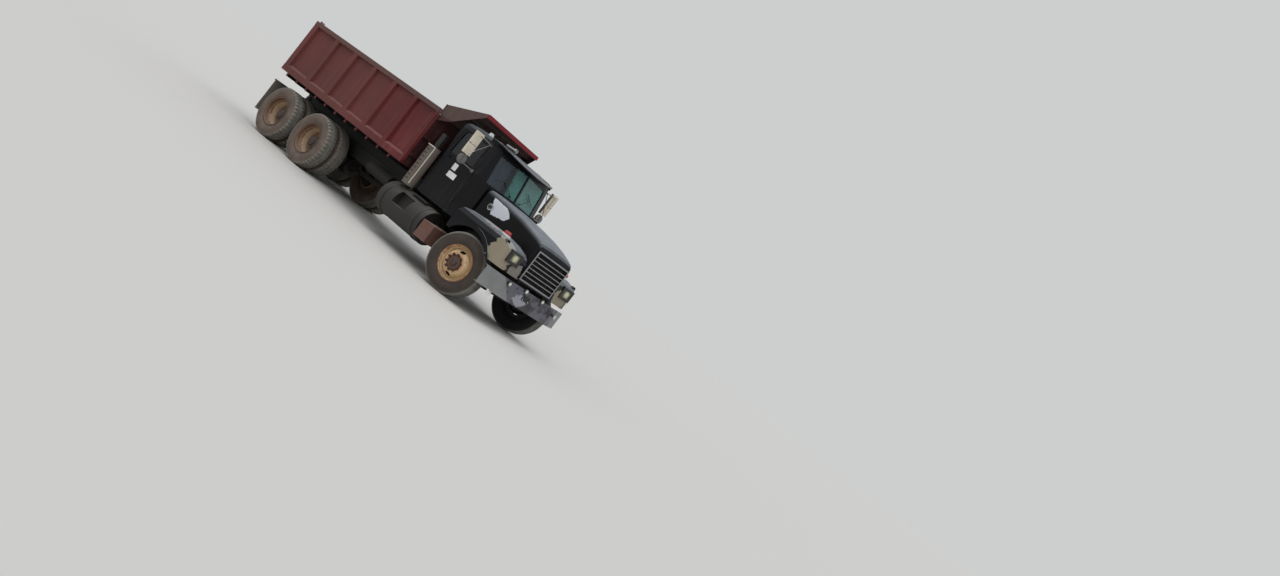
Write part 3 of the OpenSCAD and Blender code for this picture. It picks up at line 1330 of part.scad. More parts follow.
module mid_tyres_left() color("#4b4844") in_frame() rear_place(1) tyre_pair();
module mid_rims_left() color("#7a4f34") in_frame() rear_place(1) rear_rims();
module mid_tyres_right() color("#4b4844") in_frame() mirror([1, 0, 0]) rear_place(1) tyre_pair();
module mid_rims_right() color("#7a4f34") in_frame() mirror([1, 0, 0]) rear_place(1) rear_rims();
module rear_tyres_left() color("#4b4844") in_frame() rear_place(2) tyre_pair();
module rear_rims_left() color("#7a4f34") in_frame() rear_place(2) rear_rims();
module rear_tyres_right() color("#4b4844") in_frame() mirror([1, 0, 0]) rear_place(2) tyre_pair();
module rear_rims_right() color("#7a4f34") in_frame() mirror([1, 0, 0]) rear_place(2) rear_rims();

chassis_frame();
cross_members();
front_bumper();
front_axle_beam();
front_springs();
rear_axles();
rear_springs();
prop_shafts();
engine();
radiator();
fuel_tanks();
battery_boxes();
exhaust_stack();
heat_shield();
air_tanks();
mudflaps();
tail_lamps();
steering_gear();
cab_shell();
cab_glass();
seats();
dashboard();
sun_visor();
door_right();
door_left();
door_glass_right();
door_glass_left();
mirror_right();
mirror_left();
hood();
grille();
headlamps();
bed_floor();
bed_sides();
bulkhead();
cab_guard();
tailgate();
hoist_barrel();
hoist_stage_1();
hoist_stage_2();
hoist_stage_3();
knuckle_right();
knuckle_left();
tie_rod();
drag_link();
pitman_arm();
front_tyre_right();
front_rim_right();
front_tyre_left();
front_rim_left();
mid_tyres_right();
mid_rims_right();
mid_tyres_left();
mid_rims_left();
rear_tyres_right();
rear_rims_right();
rear_tyres_left();
rear_rims_left();
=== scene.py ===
import math

import bpy
from mathutils import Matrix, Vector


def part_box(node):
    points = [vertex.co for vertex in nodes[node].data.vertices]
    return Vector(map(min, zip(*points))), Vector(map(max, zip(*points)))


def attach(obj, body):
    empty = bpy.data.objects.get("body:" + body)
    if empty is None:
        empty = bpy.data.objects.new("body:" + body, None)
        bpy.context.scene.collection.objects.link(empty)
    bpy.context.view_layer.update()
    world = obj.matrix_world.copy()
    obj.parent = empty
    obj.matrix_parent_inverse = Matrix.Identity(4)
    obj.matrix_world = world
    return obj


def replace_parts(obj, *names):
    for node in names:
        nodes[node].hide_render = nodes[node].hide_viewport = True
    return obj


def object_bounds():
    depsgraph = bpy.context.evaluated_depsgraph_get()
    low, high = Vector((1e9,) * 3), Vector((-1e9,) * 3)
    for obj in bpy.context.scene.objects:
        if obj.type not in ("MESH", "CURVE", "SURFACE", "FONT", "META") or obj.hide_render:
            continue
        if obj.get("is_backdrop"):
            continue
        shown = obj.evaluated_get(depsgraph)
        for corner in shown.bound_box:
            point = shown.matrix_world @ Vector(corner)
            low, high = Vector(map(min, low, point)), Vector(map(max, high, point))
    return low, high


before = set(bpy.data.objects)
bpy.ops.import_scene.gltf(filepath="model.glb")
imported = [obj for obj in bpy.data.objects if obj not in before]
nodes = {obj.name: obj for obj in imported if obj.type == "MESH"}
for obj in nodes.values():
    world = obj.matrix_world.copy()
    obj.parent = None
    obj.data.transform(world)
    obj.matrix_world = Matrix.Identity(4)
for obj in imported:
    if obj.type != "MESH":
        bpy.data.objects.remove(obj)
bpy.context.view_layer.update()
SIDES = (("right", -1), ("left", 1))

# %% [markdown]
# The photograph was taken from in front of the truck and to its right, at eye height, with the camera
# rolled by 37 degrees. The camera comes first, because every later choice is judged through it. Its
# direction is written as three angles, so that they can be read and changed one at a time. The lens follows
# from the width of the photo's field of view.
# %% Camera
AZIMUTH, ELEVATION, ROLL = math.radians(-55.963), math.radians(-1.256), math.radians(37.339)
CAMERA_PLACE = Vector((-13.477, -14.7155, 1.714))
FOCAL_PIXELS = 1004.9
PHOTO_WIDTH = 1280
SENSOR = 36


def camera_axes():
    """The camera's right, up and back in the truck's frame."""
    back = Vector((math.sin(AZIMUTH) * math.cos(ELEVATION), -math.cos(AZIMUTH) * math.cos(ELEVATION),
                   math.sin(ELEVATION)))
    right = Vector((math.cos(AZIMUTH), math.sin(AZIMUTH), 0))
    up = back.cross(right)
    c, s = math.cos(ROLL), math.sin(ROLL)
    return c * right + s * up, -s * right + c * up, back


camera = bpy.data.objects.new("camera", bpy.data.cameras.new("camera"))
bpy.context.collection.objects.link(camera)
turned = Matrix(camera_axes()).transposed().to_4x4()
camera.matrix_world = Matrix.Translation(CAMERA_PLACE) @ turned
camera.data.sensor_width = SENSOR
camera.data.lens = FOCAL_PIXELS / PHOTO_WIDTH * SENSOR
camera.data.clip_end = 2000
bpy.context.scene.camera = camera
print("lens", round(camera.data.lens, 2), "mm")

# %% [markdown]
# Colours are written as sRGB hex codes, because that is how they are read off a picture. Blender's nodes
# take linear numbers, so one function turns a code into these. A second one adds a shader node with its
# settings and links. Most nodes only do sums, and wired one by one these are long and hard to read. So a
# small class stands for a number that the shader works out, and a sum or a product of such numbers in the
# code adds the node by itself.
# %% Colours and nodes


def hex_colour(code):
    """An sRGB hex code as the linear colour that Blender's nodes take."""
    parts = [int(code[i:i + 2], 16) / 255 for i in (0, 2, 4)]
    return tuple(p / 12.92 if p <= 0.04045 else ((p + 0.055) / 1.055) ** 2.4 for p in parts) + (1.0,)


def add_node(tree, kind, inputs=None, **settings):
    """Adds one shader node. inputs gives its sockets a value, a Number or another node's socket."""
    node = tree.nodes.new("ShaderNode" + kind)
    for name, value in settings.items():
        setattr(node, name, value)
    for name, value in (inputs or {}).items():
        if isinstance(value, Number):
            value = value.socket
        if isinstance(value, bpy.types.NodeSocket):
            tree.links.new(value, node.inputs[name])
        else:
            node.inputs[name].default_value = value
    return node


class Number:
    """A number that a shader works out at each point. Arithmetic with it adds math nodes."""

    def __init__(self, tree, socket):
        self.tree = tree
        self.socket = socket

    def math(self, operation, other=0.0, clamp=False):
        """The result of one math node. clamp keeps it between 0 and 1."""
        node = add_node(self.tree, "Math", {0: self, 1: other}, operation=operation, use_clamp=clamp)
        return Number(self.tree, node.outputs[0])

    def __add__(self, other):
        return self.math("ADD", other)

    def __sub__(self, other):
        return self.math("SUBTRACT", other)

    def __rsub__(self, other):
        node = add_node(self.tree, "Math", {0: other, 1: self}, operation="SUBTRACT")
        return Number(self.tree, node.outputs[0])

    def __mul__(self, other):
        return self.math("MULTIPLY", other)


print("mid grey is", round(hex_colour("808080")[0], 3), "in linear light")

# %% [markdown]
# A bright overcast sky lights the real truck, so shadows are soft and the brightest light comes from above.
# A sun lamp whose disc is spread over a wide angle gives this light, and since it is infinitely far away,
# the floor is lit evenly to the horizon. A weaker one from beside the camera lifts the side that the photo
# shows, and a pale world fills the rest. The camera, mirrors and panes see the plain backdrop instead of
# the world. The Standard view transform keeps the colours as they are set.
# %% Light
scene = bpy.context.scene
scene.view_settings.view_transform = "Standard"
scene.view_settings.look = "None"
BACKDROP = "CDCFCF"


def soft_sun(name, azimuth, height, strength, spread, colour):
    """A sun lamp from a direction given in degrees, azimuth as for the camera."""
    light = bpy.data.lights.new(name, "SUN")
    light.energy = strength
    light.angle = math.radians(spread)
    light.color = hex_colour(colour)[:3]
    lamp = bpy.data.objects.new(name, light)
    bpy.context.collection.objects.link(lamp)
    a, h = math.radians(azimuth), math.radians(height)
    towards = Vector((math.sin(a) * math.cos(h), -math.cos(a) * math.cos(h), math.sin(h)))
    lamp.rotation_euler = towards.to_track_quat("Z", "Y").to_euler()


world = bpy.data.worlds.new("sky")
scene.world = world
world.use_nodes = True
sky = world.node_tree
fill = sky.nodes["Background"]
fill.inputs["Color"].default_value = hex_colour("D5DBE3")
fill.inputs["Strength"].default_value = 0.75
backdrop = add_node(sky, "Background", {"Color": hex_colour(BACKDROP), "Strength": 1.0})
rays = add_node(sky, "LightPath").outputs
seen = Number(sky, rays["Is Camera Ray"])
for ray in ("Is Glossy Ray", "Is Transmission Ray"):
    seen = seen.math("MAXIMUM", rays[ray])
mixed = add_node(sky, "MixShader", {0: seen, 1: fill.outputs[0], 2: backdrop.outputs[0]})
sky.links.new(mixed.outputs[0], sky.nodes["World Output"].inputs["Surface"])
soft_sun("high_sun", -30, 68, 1.9, 75, "F8F9FF")
soft_sun("side_sun", -75, 18, 0.55, 90, "FFF9F0")
print("lamps:", len(bpy.data.lights))

# %% [markdown]
# The truck stands on a plain pale floor. It is one large plane that reaches to the horizon, so that the
# tilted view sees it from edge to edge, and the world behind it has the tone that the lit floor has. It is
# marked as stage, because it isn't part of the truck.
# %% Floor


def mode(name):
    bpy.ops.object.mode_set(mode=name)


def deselect():
    if bpy.context.object and bpy.context.object.mode != "OBJECT":
        mode("OBJECT")
    bpy.ops.object.select_all(action="DESELECT")


deselect()
bpy.ops.mesh.primitive_plane_add(size=900, location=(0, 0, 0))
floor = bpy.context.object
floor.name = "floor"
floor_look = bpy.data.materials.new("floor")
floor_look.use_nodes = True
floor_shader = floor_look.node_tree.nodes["Principled BSDF"]
floor_shader.inputs["Base Color"].default_value = hex_colour("C4C1BA")
floor_shader.inputs["Roughness"].default_value = 0.9
floor.data.materials.append(floor_look)
floor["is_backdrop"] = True
print("floor", round(floor.dimensions.x), "m wide")

# %% [markdown]
# Every surface on the real truck is a stack of the same layers: paint or bare metal at the bottom, then
# rust where it chipped, then pale quarry dust, which is thicker near the ground and on all that faces up.
# One class builds this stack, so that all finishes age in the same way. Its noise uses the truck's own
# metres, so each scale below is a real one: a noise of scale 8 has blotches about 12 cm wide. Real dust is
# far finer than a pixel of the picture, so its grain is drawn as coarse as it needs to show, 11 mm.
# %% Layered finishes
DUST = "9A938A"
RUST = "5A3420"
BLOTCH, GRAIN = 3.5, 90


class Finish:
    """Builds one material, layer on layer, and keeps its colour and roughness sockets."""

    def __init__(self, name, colour, rough, metallic=0.0):
        self.material = bpy.data.materials.new(name)
        self.material.use_nodes = True
        self.tree = self.material.node_tree
        self.shader = self.tree.nodes["Principled BSDF"]
        self.shader.inputs["Metallic"].default_value = metallic
        self.place = self.add("TexCoord").outputs["Object"]
        normal = self.add("NewGeometry").outputs["Normal"]
        self.x, self.y, self.z = self.parts(self.place)
        self.facing_x, self.facing_y, self.facing_z = self.parts(normal)
        self.colour = self.add("RGB").outputs[0]
        self.colour.default_value = hex_colour(colour)
        self.rough = self.add("Value").outputs[0]
        self.rough.default_value = rough

    def add(self, kind, inputs=None, **settings):
        return add_node(self.tree, kind, inputs, **settings)

    def number(self, kind, inputs, output=0, **settings):
        """A node's result as a number to calculate with."""
        return Number(self.tree, self.add(kind, inputs, **settings).outputs[output])

    def parts(self, vector):
        """A vector's x, y and z."""
        return [Number(self.tree, output) for output in self.add("SeparateXYZ", {"Vector": vector}).outputs]

    def noise(self, scale, detail=4.0, stretch=None, rough=0.55):
        """Noise from 0 to 1. stretch squeezes it along the axes: (1, 1, 0.1) makes streaks that run down."""
        place = self.place
        if stretch:
            place = self.add("Mapping", {"Vector": place, "Scale": stretch}).outputs[0]
        return self.number("TexNoise", {"Vector": place, "Scale": scale, "Detail": detail,
                                        "Roughness": rough})

    def ramp(self, value, low, high):
        """0 below low, 1 above high, and smooth between."""
        return self.number("MapRange", {"Value": value, "From Min": low, "From Max": high},
                           interpolation_type="SMOOTHSTEP")

    def fade(self, value, low, high):
        """1 below low, 0 above high, and smooth between."""
        return 1.0 - self.ramp(value, low, high)

    def distance(self, middle, stretch=(1, 1, 1)):
        """How far a point lies from the middle. With a stretch of (1, 1, 0) it is that from an upright."""
        away = self.add("VectorMath", {0: self.place, 1: middle}, operation="SUBTRACT").outputs[0]
        away = self.add("VectorMath", {0: away, 1: stretch}, operation="MULTIPLY").outputs[0]
        return self.number("VectorMath", {0: away}, "Value", operation="LENGTH")

    def cover(self, mask, colour, rough, share=None):
        """Lays a colour over what is there, where mask is 1. share thins it."""
        if share:
            mask = mask * share
        mix = self.add("Mix", {"Factor": mask}, data_type="RGBA")
        self.tree.links.new(self.colour, mix.inputs[6])
        if isinstance(colour, bpy.types.NodeSocket):
            self.tree.links.new(colour, mix.inputs[7])
        else:
            mix.inputs[7].default_value = hex_colour(colour)
        self.colour = mix.outputs[2]
        mix = self.add("Mix", {"Factor": mask}, data_type="FLOAT")
        self.tree.links.new(self.rough, mix.inputs[2])
        mix.inputs[3].default_value = rough
        self.rough = mix.outputs[0]

    def tone(self, scale, dark, light):
        """Uneven tone: the colour swings between darker and lighter over the noise."""
        tint = self.add("MapRange", {"Value": self.noise(scale, 3), "From Min": 0.3, "From Max": 0.7,
                                     "To Min": dark, "To Max": light}).outputs[0]
        self.colour = self.add("VectorMath", {0: self.colour, "Scale": tint}, operation="SCALE").outputs[0]

    def spots(self, scale, low, high, colour, rough=0.85):
        """Rust or chipped paint in blotches."""
        self.cover(self.ramp(self.noise(scale, 6, None, 0.65), low, high), colour, rough)

    def dust(self, amount, up, low, height=1.3, colour=DUST):
        """Pale dust: amount everywhere, up on what faces up, low towards the ground below height."""
        skyward = self.facing_z.math("MAXIMUM", 0.0).math("POWER", 2.0)
        below = self.ramp(height - self.z, 0.0, height)
        total = skyward * up + below * low + amount
        uneven = self.noise(BLOTCH, 6, None, 0.7) * 1.1 + 0.35
        fine = self.noise(GRAIN, 3) * 0.5 + 0.75
        self.cover((total * uneven).math("MULTIPLY", fine, clamp=True), colour, 0.92)

    def streaks(self, strength, colour=DUST):
        """Runs that rain has drawn down the side."""
        self.cover(self.ramp(self.noise(14, 4, (1.0, 1.0, 0.06)), 0.52, 0.72), colour, 0.85, strength)

    def relief(self, height, depth, strength=1.0):
        """Makes the surface look raised where height is 1, by the given depth in millimetres."""
        node = self.add("Bump", {"Height": height, "Distance": depth / 1000, "Strength": strength})
        self.tree.links.new(node.outputs[0], self.shader.inputs["Normal"])

    def bump(self, scale, depth):
        """Uneven relief."""
        self.relief(self.noise(scale), depth)

    def done(self):
        self.tree.links.new(self.colour, self.shader.inputs["Base Color"])
        self.tree.links.new(self.rough, self.shader.inputs["Roughness"])
        print("finish", self.material.name, "from", len(self.tree.nodes), "shader nodes")
        return self.material


print("blotches", round(1 / BLOTCH, 2), "m wide, grain", round(1000 / GRAIN), "mm")

# %% [markdown]
# The cab and the hood wear black enamel. Dust has turned the black to charcoal on the roof and the hood's
# top, while the gloss below still mirrors the sky. On the near fender the old cream paint shows through in
# large ragged patches round the headlamp. They are placed with balls of a given middle and radius whose
# edge is broken up by noise. A pale sheet of filler covers part of the hood's side. It has straight torn
# edges, so its mask is a polygon: a point is inside when it lies on the inner side of every edge.
# %% Cab paint
FRONT_AXLE = -3.0725
CREAM = "857C6A"
PALE_DUST = "9A9EA3"
FILLER_CORNERS = ((-2.541, 1.831), (-2.681, 1.534), (-2.975, 1.588), (-3.066, 1.675), (-2.916, 1.792))


def patch(finish, middle, radius, colour, rough, ragged, scale, stretch=(1, 1, 1)):
    """Covers a ragged ball round a point of the truck with another colour."""
    uneven = finish.noise(scale, 5, None, 0.7) - 0.5
    edge = finish.distance(middle, stretch) + uneven * (ragged * 2)
    finish.cover(finish.fade(edge, radius * 0.97, radius * 1.03), colour, rough)


def torn_sheet(finish, corners, beyond_x, colour):
    """Covers a polygon of the truck's right side with another colour. corners are y and z, in turn."""
    uneven = (finish.noise(9, 5) - 0.5) * 0.06
    inside = beyond_x - finish.x
    for (y0, z0), (y1, z1) in zip(corners, corners[1:] + corners[:1]):
        length = math.hypot(y1 - y0, z1 - z0)
        from_edge = (finish.y - y0) * ((z1 - z0) / length) + (finish.z - z0) * ((y0 - y1) / length)
        inside = inside.math("MINIMUM", from_edge + uneven)
    finish.cover(finish.ramp(inside, 0.0, 0.004), colour, 0.6)


def black_paint(name):
    finish = Finish(name, "060609", 0.32)
    finish.shader.inputs["Specular IOR Level"].default_value = 0.16
    finish.tone(1.7, 0.75, 1.35)
    finish.spots(22, 0.69, 0.73, "45423F", 0.6)
    return finish


finish = black_paint("cab_black")
finish.streaks(0.03)
finish.dust(0.003, 0.42, 0.04, 1.9, PALE_DUST)
finish.bump(30, 0.25)
cab_black = finish.done()

finish = black_paint("hood_black")
patch(finish, (-1.05, FRONT_AXLE - 0.66, 1.17), 0.225, "8A816E", 0.75, 0.14, 9, (1.0, 1.0, 0.7))
patch(finish, (-0.86, FRONT_AXLE - 0.28, 1.50), 0.17, CREAM, 0.75, 0.12, 9, (1.0, 0.7, 1.3))
patch(finish, (-0.66, FRONT_AXLE - 0.79, 1.02), 0.16, "77726A", 0.8, 0.12, 9)
patch(finish, (0.78, FRONT_AXLE - 0.79, 1.06), 0.2, CREAM, 0.75, 0.15, 9)
patch(finish, (-1.00, FRONT_AXLE - 0.16, 1.50), 0.13, CREAM, 0.75, 0.12, 9, (1.0, 0.4, 1.0))
torn_sheet(finish, FILLER_CORNERS, -0.3, "C4C6CB")
finish.dust(0.003, 0.60, 0.04, 1.6, PALE_DUST)
finish.bump(30, 0.25)
hood_black = finish.done()

# %% [markdown]
# The box body was painted red over brown. The sun has dulled the top rail, and the quarry's dust lies on
# the bottom rail's ledge and runs down from it. Towards the tail grime has turned the panels brown, and
# next to the cab the red still shows. The inside is scoured to bare, dusty steel by every load. One solid
# holds both sides of each wall, so the mask between paint and steel is the direction that a face looks in.
# %% Body paint
# The second, darker red is the body red with painted shade. The bulkhead and the cab guard wear it, because
# they lie in the shade under the guard.
BODY_RED, SHADED_RED = "5E191C", "351418"


def body_paint(name, colour, dust, low):
    finish = Finish(name, colour, 0.5)
    finish.shader.inputs["Specular IOR Level"].default_value = 0.3
    finish.tone(0.9, 0.62, 1.15)
    finish.spots(5, 0.6, 0.74, "4A2220", 0.75)
    finish.spots(16, 0.68, 0.72, RUST, 0.9)
    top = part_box("bed_sides")[1][2]
    height = finish.z + finish.noise(6) * 0.06
    finish.cover(finish.ramp(height, top - 0.13, top - 0.07), "554742", 0.85, 0.8)
    finish.streaks(0.12, "8A7A74")
    finish.dust(dust, 0.6, low, 1.75, "8E7069")
    finish.bump(18, 0.6)
    return finish


def scoured(finish, inwards):
    """Bare dusty steel with rust on the inner side. inwards is 1 there."""
    finish.cover(inwards, "5F5750", 0.6)
    for scale, detail, low, high, colour, rough in ((6, 6, 0.52, 0.62, "4E3325", 0.85),
                                                    (3, 5, 0.45, 0.7, "7A7168", 0.95)):
        blotches = finish.ramp(finish.noise(scale, detail), low, high)
        finish.cover(inwards * blotches, colour, rough)
    return finish.done()


finish = body_paint("bed_red", BODY_RED, 0.02, 0.15)
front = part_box("bed_sides")[0][1]
grime = finish.ramp(finish.y + finish.noise(2.5), front + 1.0, front + 2.6)
finish.cover(grime, "6A4A42", 0.85, 0.34)
bed_red = scoured(finish, finish.ramp(finish.x * finish.facing_x * -1.0, 0.4, 0.8))

finish = body_paint("gate_red", BODY_RED, 0.02, 0.15)
gate_red = scoured(finish, finish.ramp(finish.facing_y * -1.0, 0.5, 0.8))

finish = body_paint("front_wall_red", SHADED_RED, 0.05, 0.1)
wall_red = scoured(finish, finish.ramp(finish.facing_y, 0.5, 0.8))

finish = body_paint("guard_red", SHADED_RED, 0.05, 0.1)
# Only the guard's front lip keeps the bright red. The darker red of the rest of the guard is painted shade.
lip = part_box("cab_guard")[0][1]
finish.cover(finish.fade(finish.y, lip + 0.02, lip + 0.05), "7A2024", 0.6)
guard_red = finish.done()

finish = Finish("bed_inside", "120E0D", 0.7)
finish.spots(7, 0.6, 0.68, "2A1A14", 0.85)
finish.cover(finish.ramp(finish.x * finish.facing_x, 0.9, 1.1), BODY_RED, 0.6)
finish.bump(12, 1.0)
bed_inside = scoured(finish, finish.ramp(finish.facing_z, 0.5, 0.8))

# %% [markdown]
# The bumper is a thick steel plate. Its ends are primed in light grey, and the middle still carries its old
# chrome, dull and stained. One bright patch on the chrome is a painted reflection. The border between primer
# and chrome runs slantwise, so the mask compares x with the height. The small lamps are part of the same
# solid, so each is found by its distance from a level line through its middle.
# %% Bumper
LAMPS = ((-0.660, 0.825), (-0.190, 0.872), (0.330, 0.872), (0.865, 0.770))
finish = Finish("bumper", "757876", 0.55)
finish.tone(3, 0.85, 1.12)
slant = finish.x + finish.z * 1.16 + finish.noise(6, 5) * 0.1
middle = finish.ramp(slant, 0.24, 0.26) * finish.fade(finish.x, 0.93, 0.95)
stain = finish.add("Mix", {"Factor": finish.ramp(finish.noise(5, 6), 0.42, 0.6)}, data_type="RGBA")
stain.inputs[6].default_value = hex_colour("34323A")
stain.inputs[7].default_value = hex_colour("62626D")
finish.cover(middle, stain.outputs[2], 0.28)
metallic = middle * 0.7
finish.tree.links.new(metallic.socket, finish.shader.inputs["Metallic"])
# Painted reflection: a bright bluish patch on the chrome near the dark plate.
patch(finish, (-0.17, FRONT_AXLE - 0.865, 0.665), 0.10, "9C9CA8", 0.3, 0.12, 12, (0.6, 0.3, 1.0))
finish.spots(30, 0.66, 0.72, RUST)
finish.dust(0.05, 0.6, 0.25, 0.9)
for x, z in LAMPS:
    finish.cover(finish.fade(finish.distance((x, 0, z), (1, 0, 1)), 0.026, 0.028), "EDEBE2", 0.12)
bumper_look = finish.done()

# %% [markdown]
# The remaining finishes are made from the same layers. A table keeps them together: a name, a colour, how
# rough and how metallic the surface is, and how much rust and dust it carries.
# %% Other finishes
FINISHES = {
    # name: colour, roughness, metallic, rust, dust, dust facing up, dust low down
    # The frame and axle finishes carry less dust than a quarry truck's would, so that the parts under the
    # truck stay nearly black: that darkness is painted shade.
    "frame_black_and_shade": ("0B0A0A", 0.65, 0.0, 0.15, 0.01, 0.25, 0.04),
    "tank_black": ("0D0B0A", 0.45, 0.0, 0.15, 0.01, 0.30, 0.06),
    "box_brown": ("5A2E1C", 0.6, 0.0, 0.7, 0.06, 0.5, 0.15),
    "axle_iron": ("14110F", 0.65, 0.2, 0.4, 0.02, 0.3, 0.06),
    "spring_steel": ("1C1714", 0.6, 0.3, 0.5, 0.03, 0.3, 0.08),
    "hoist_steel": ("8D8B88", 0.22, 1.0, 0.05, 0.05, 0.2, 0.0),
    "chrome": ("C9CBCE", 0.14, 1.0, 0.0, 0.04, 0.2, 0.0),
    "lamp_black": ("0F0F10", 0.4, 0.0, 0.0, 0.03, 0.4, 0.0),
    "silvered": ("B9C0C4", 0.05, 1.0, 0.0, 0.03, 0.1, 0.0),
    "blank_plate": ("D4D4D0", 0.5, 0.0, 0.0, 0.05, 0.2, 0.0),
    "dark_plate": ("08080E", 0.4, 0.0, 0.0, 0.005, 0.2, 0.0),
    "gasket": ("0C0C0D", 0.7, 0.0, 0.0, 0.04, 0.3, 0.0),
    "seat_vinyl": ("2A2624", 0.55, 0.0, 0.0, 0.08, 0.2, 0.0),
    "seat_frame": ("151515", 0.6, 0.0, 0.1, 0.08, 0.3, 0.0),
    "dash_grey": ("1E1E1F", 0.65, 0.0, 0.0, 0.10, 0.4, 0.0),
    "flap_rubber": ("332A1F", 0.85, 0.0, 0.0, 0.30, 0.4, 0.3),
    "tail_red": ("5A1512", 0.3, 0.0, 0.0, 0.12, 0.3, 0.15),
    "nut_rust": ("3A2418", 0.7, 0.2, 0.6, 0.03, 0.2, 0.0),
    "lamp_red": ("A02A22", 0.25, 0.0, 0.0, 0.04, 0.15, 0.0),
    "amber": ("A8591A", 0.25, 0.0, 0.0, 0.10, 0.3, 0.0),
}
looks = {}
for name, (colour, rough, metallic, rust, dust, dust_up, dust_low) in FINISHES.items():
    finish = Finish(name, colour, rough, metallic)
    finish.tone(2.5, 0.8, 1.2)
    if rust:
        finish.spots(12, 0.72 - 0.25 * rust, 0.8 - 0.25 * rust, RUST)
    finish.dust(dust, dust_up, dust_low)
    finish.bump(40, 0.3)
    looks[name] = finish.done()

# %% [markdown]
# The perforated shield round the exhaust is tan with heat and dust. A bright pipe is welded along its outer
# edge. It lies further from the stack's middle than the sheet does, so the mask is the distance from the
# stack.
# %% Heat shield
STACK = (-1.010, FRONT_AXLE + 2.130, 0)
finish = Finish("shield_tan", "4E443C", 0.6, 0.1)
finish.tone(3, 0.8, 1.2)
finish.spots(12, 0.58, 0.68, RUST)
finish.dust(0.16, 0.3, 0.1)
finish.cover(finish.ramp(finish.distance(STACK, (1, 1, 0)), 0.1385, 0.1395), "B4ADA0", 0.4)
looks["shield_tan"] = finish.done()

# %% [markdown]
# The grille is one node with an outer frame, six bars and many thin slats behind them. Only the front edges
# of the bars and the frame are bright. All that lies deeper is darkened to near black as painted shade in
# the grille's recesses, so the mask follows the depth.
# %% Grille
NOSE = FRONT_AXLE - 0.800
finish = Finish("grille", "8E8F92", 0.3, 0.6)
finish.tone(9, 0.7, 1.15)
# Painted shade: all that lies more than 14 mm behind the grille's front is near black.
finish.cover(finish.ramp(finish.y, NOSE - 0.017, NOSE - 0.014), "0D0D0E", 0.7)
finish.dust(0.03, 0.3, 0.0)
grille_look = finish.done()

# %% [markdown]
# The tall mirror head is cream enamel with a dark crease. The round mirror below it and all the arms are
# dull grey. Both are one solid, so the grey takes what lies nearer to the cab or lower than the head.
# %% Mirrors
CREASE_Z, HEAD_INNER_X, HEAD_FOOT_Z = 2.36, 1.19, 2.105
finish = Finish("mirror_cream", "CBC1AD", 0.45)
finish.tone(6, 0.85, 1.05)
finish.spots(14, 0.66, 0.7, "6B4A35")
crease = (finish.z + finish.noise(12) * 0.1 - CREASE_Z).math("ABSOLUTE")
finish.cover(finish.fade(crease, 0.002, 0.008), "3A332C", 0.7, 0.8)
inner = finish.ramp(HEAD_INNER_X - finish.x.math("ABSOLUTE"), 0.0, 0.01)
lower = finish.ramp(HEAD_FOOT_Z - finish.z, 0.0, 0.005)
finish.cover(inner.math("MAXIMUM", lower), "66625E", 0.4)
finish.dust(0.03, 0.2, 0.0)
mirror_look = finish.done()

# %% [markdown]
# The front rims are cream with rust along the edge and a large rusty hub. The rear rims are rusty all over.
# The colour of a rim depends only on how far a point lies from the wheel's axle, so the mask measures that
# distance. Behind its disc a front rim is black: painted shade in the crevice between lip and disc.
# %% Rims
STEER = math.radians(14)
CREAM_RINGS = ((0.09, "4E2E1C"), (0.16, "B8946A"), (0.20, "C9AA7E"), (0.29, "D2B78E"), (0.315, "7A5232"))
RUSTY_RINGS = ((0.17, "8A6C50"), (0.25, "A88C6E"), (0.29, "6B4930"), (0.32, "4A3226"))


def box_middle(node):
    """The middle of a CAD node's box. A tyre's is its wheel's middle."""
    low, high = (Vector(corner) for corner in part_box(node))
    return (low + high) / 2


def wheel_place(finish, axle, turn):
    """How far along a wheel's axle and how far from it a point lies."""
    local = finish.add("VectorMath", {0: finish.place, 1: axle}, operation="SUBTRACT").outputs[0]
    local = finish.add("VectorRotate", {"Vector": local, "Angle": -turn}, rotation_type="Z_AXIS").outputs[0]
    flat = finish.add("VectorMath", {0: local, 1: (0, 1, 1)}, operation="MULTIPLY").outputs[0]
    return finish.parts(local)[0], finish.number("VectorMath", {0: flat}, "Value", operation="LENGTH")


def paint_inboard_shade(finish, along, sign, start, end, colour):
    """Covers what lies inboard of a wheel's middle with a dark colour, as painted shade. sign is -1 on the
    right and 1 on the left.
    """
    finish.cover(finish.fade(along * sign, start, end), colour, 0.85)


def rim_look(name, axle, turn, rings, base, crevice_shade_side=0):
    """rings: radius, colour. Each ring reaches out from its radius, with an uneven edge. The last argument
    is
    -1 or 1, for a right or left rim with painted shade behind its disc, in the crevice between lip and disc."""
    finish = Finish(name, base, 0.6)
    finish.tone(5, 0.75, 1.2)
    along, radius = wheel_place(finish, axle, turn)
    uneven = radius + finish.noise(14, 5, None, 0.7) * 0.05
    for start, colour in rings:
        finish.cover(finish.ramp(uneven, start, start + 0.02), colour, 0.75)
    finish.spots(20, 0.6, 0.68, RUST)
    finish.dust(0.05, 0.3, 0.05, 1.1)
    if crevice_shade_side:
        # Painted shade in the crevice behind the disc.
        paint_inboard_shade(finish, along, crevice_shade_side, 0.026, 0.036, "0B0A0B")
    finish.bump(35, 0.6)
    return finish.done()


for side, sign in SIDES:
    name = f"front_rim_{side}"
    looks[name] = rim_look(name, box_middle(f"front_tyre_{side}"), STEER, CREAM_RINGS, "2E1A12", sign)
    for axle in ("mid", "rear"):
        name = f"{axle}_rims_{side}"
        looks[name] = rim_look(name, box_middle(f"{axle}_tyres_{side}"), 0, RUSTY_RINGS, "33241C")

# %% [markdown]
# The glass is a thin pane under a film of dust, so it is only partly see-through. It keeps its gloss, and
# the seats and the wheel can be made out behind it. The windscreen looks teal where the sky shines through
# the cab from the far side and slate blue where the near pillar darkens the cab behind it. The side windows
# look black.
# %% Glass


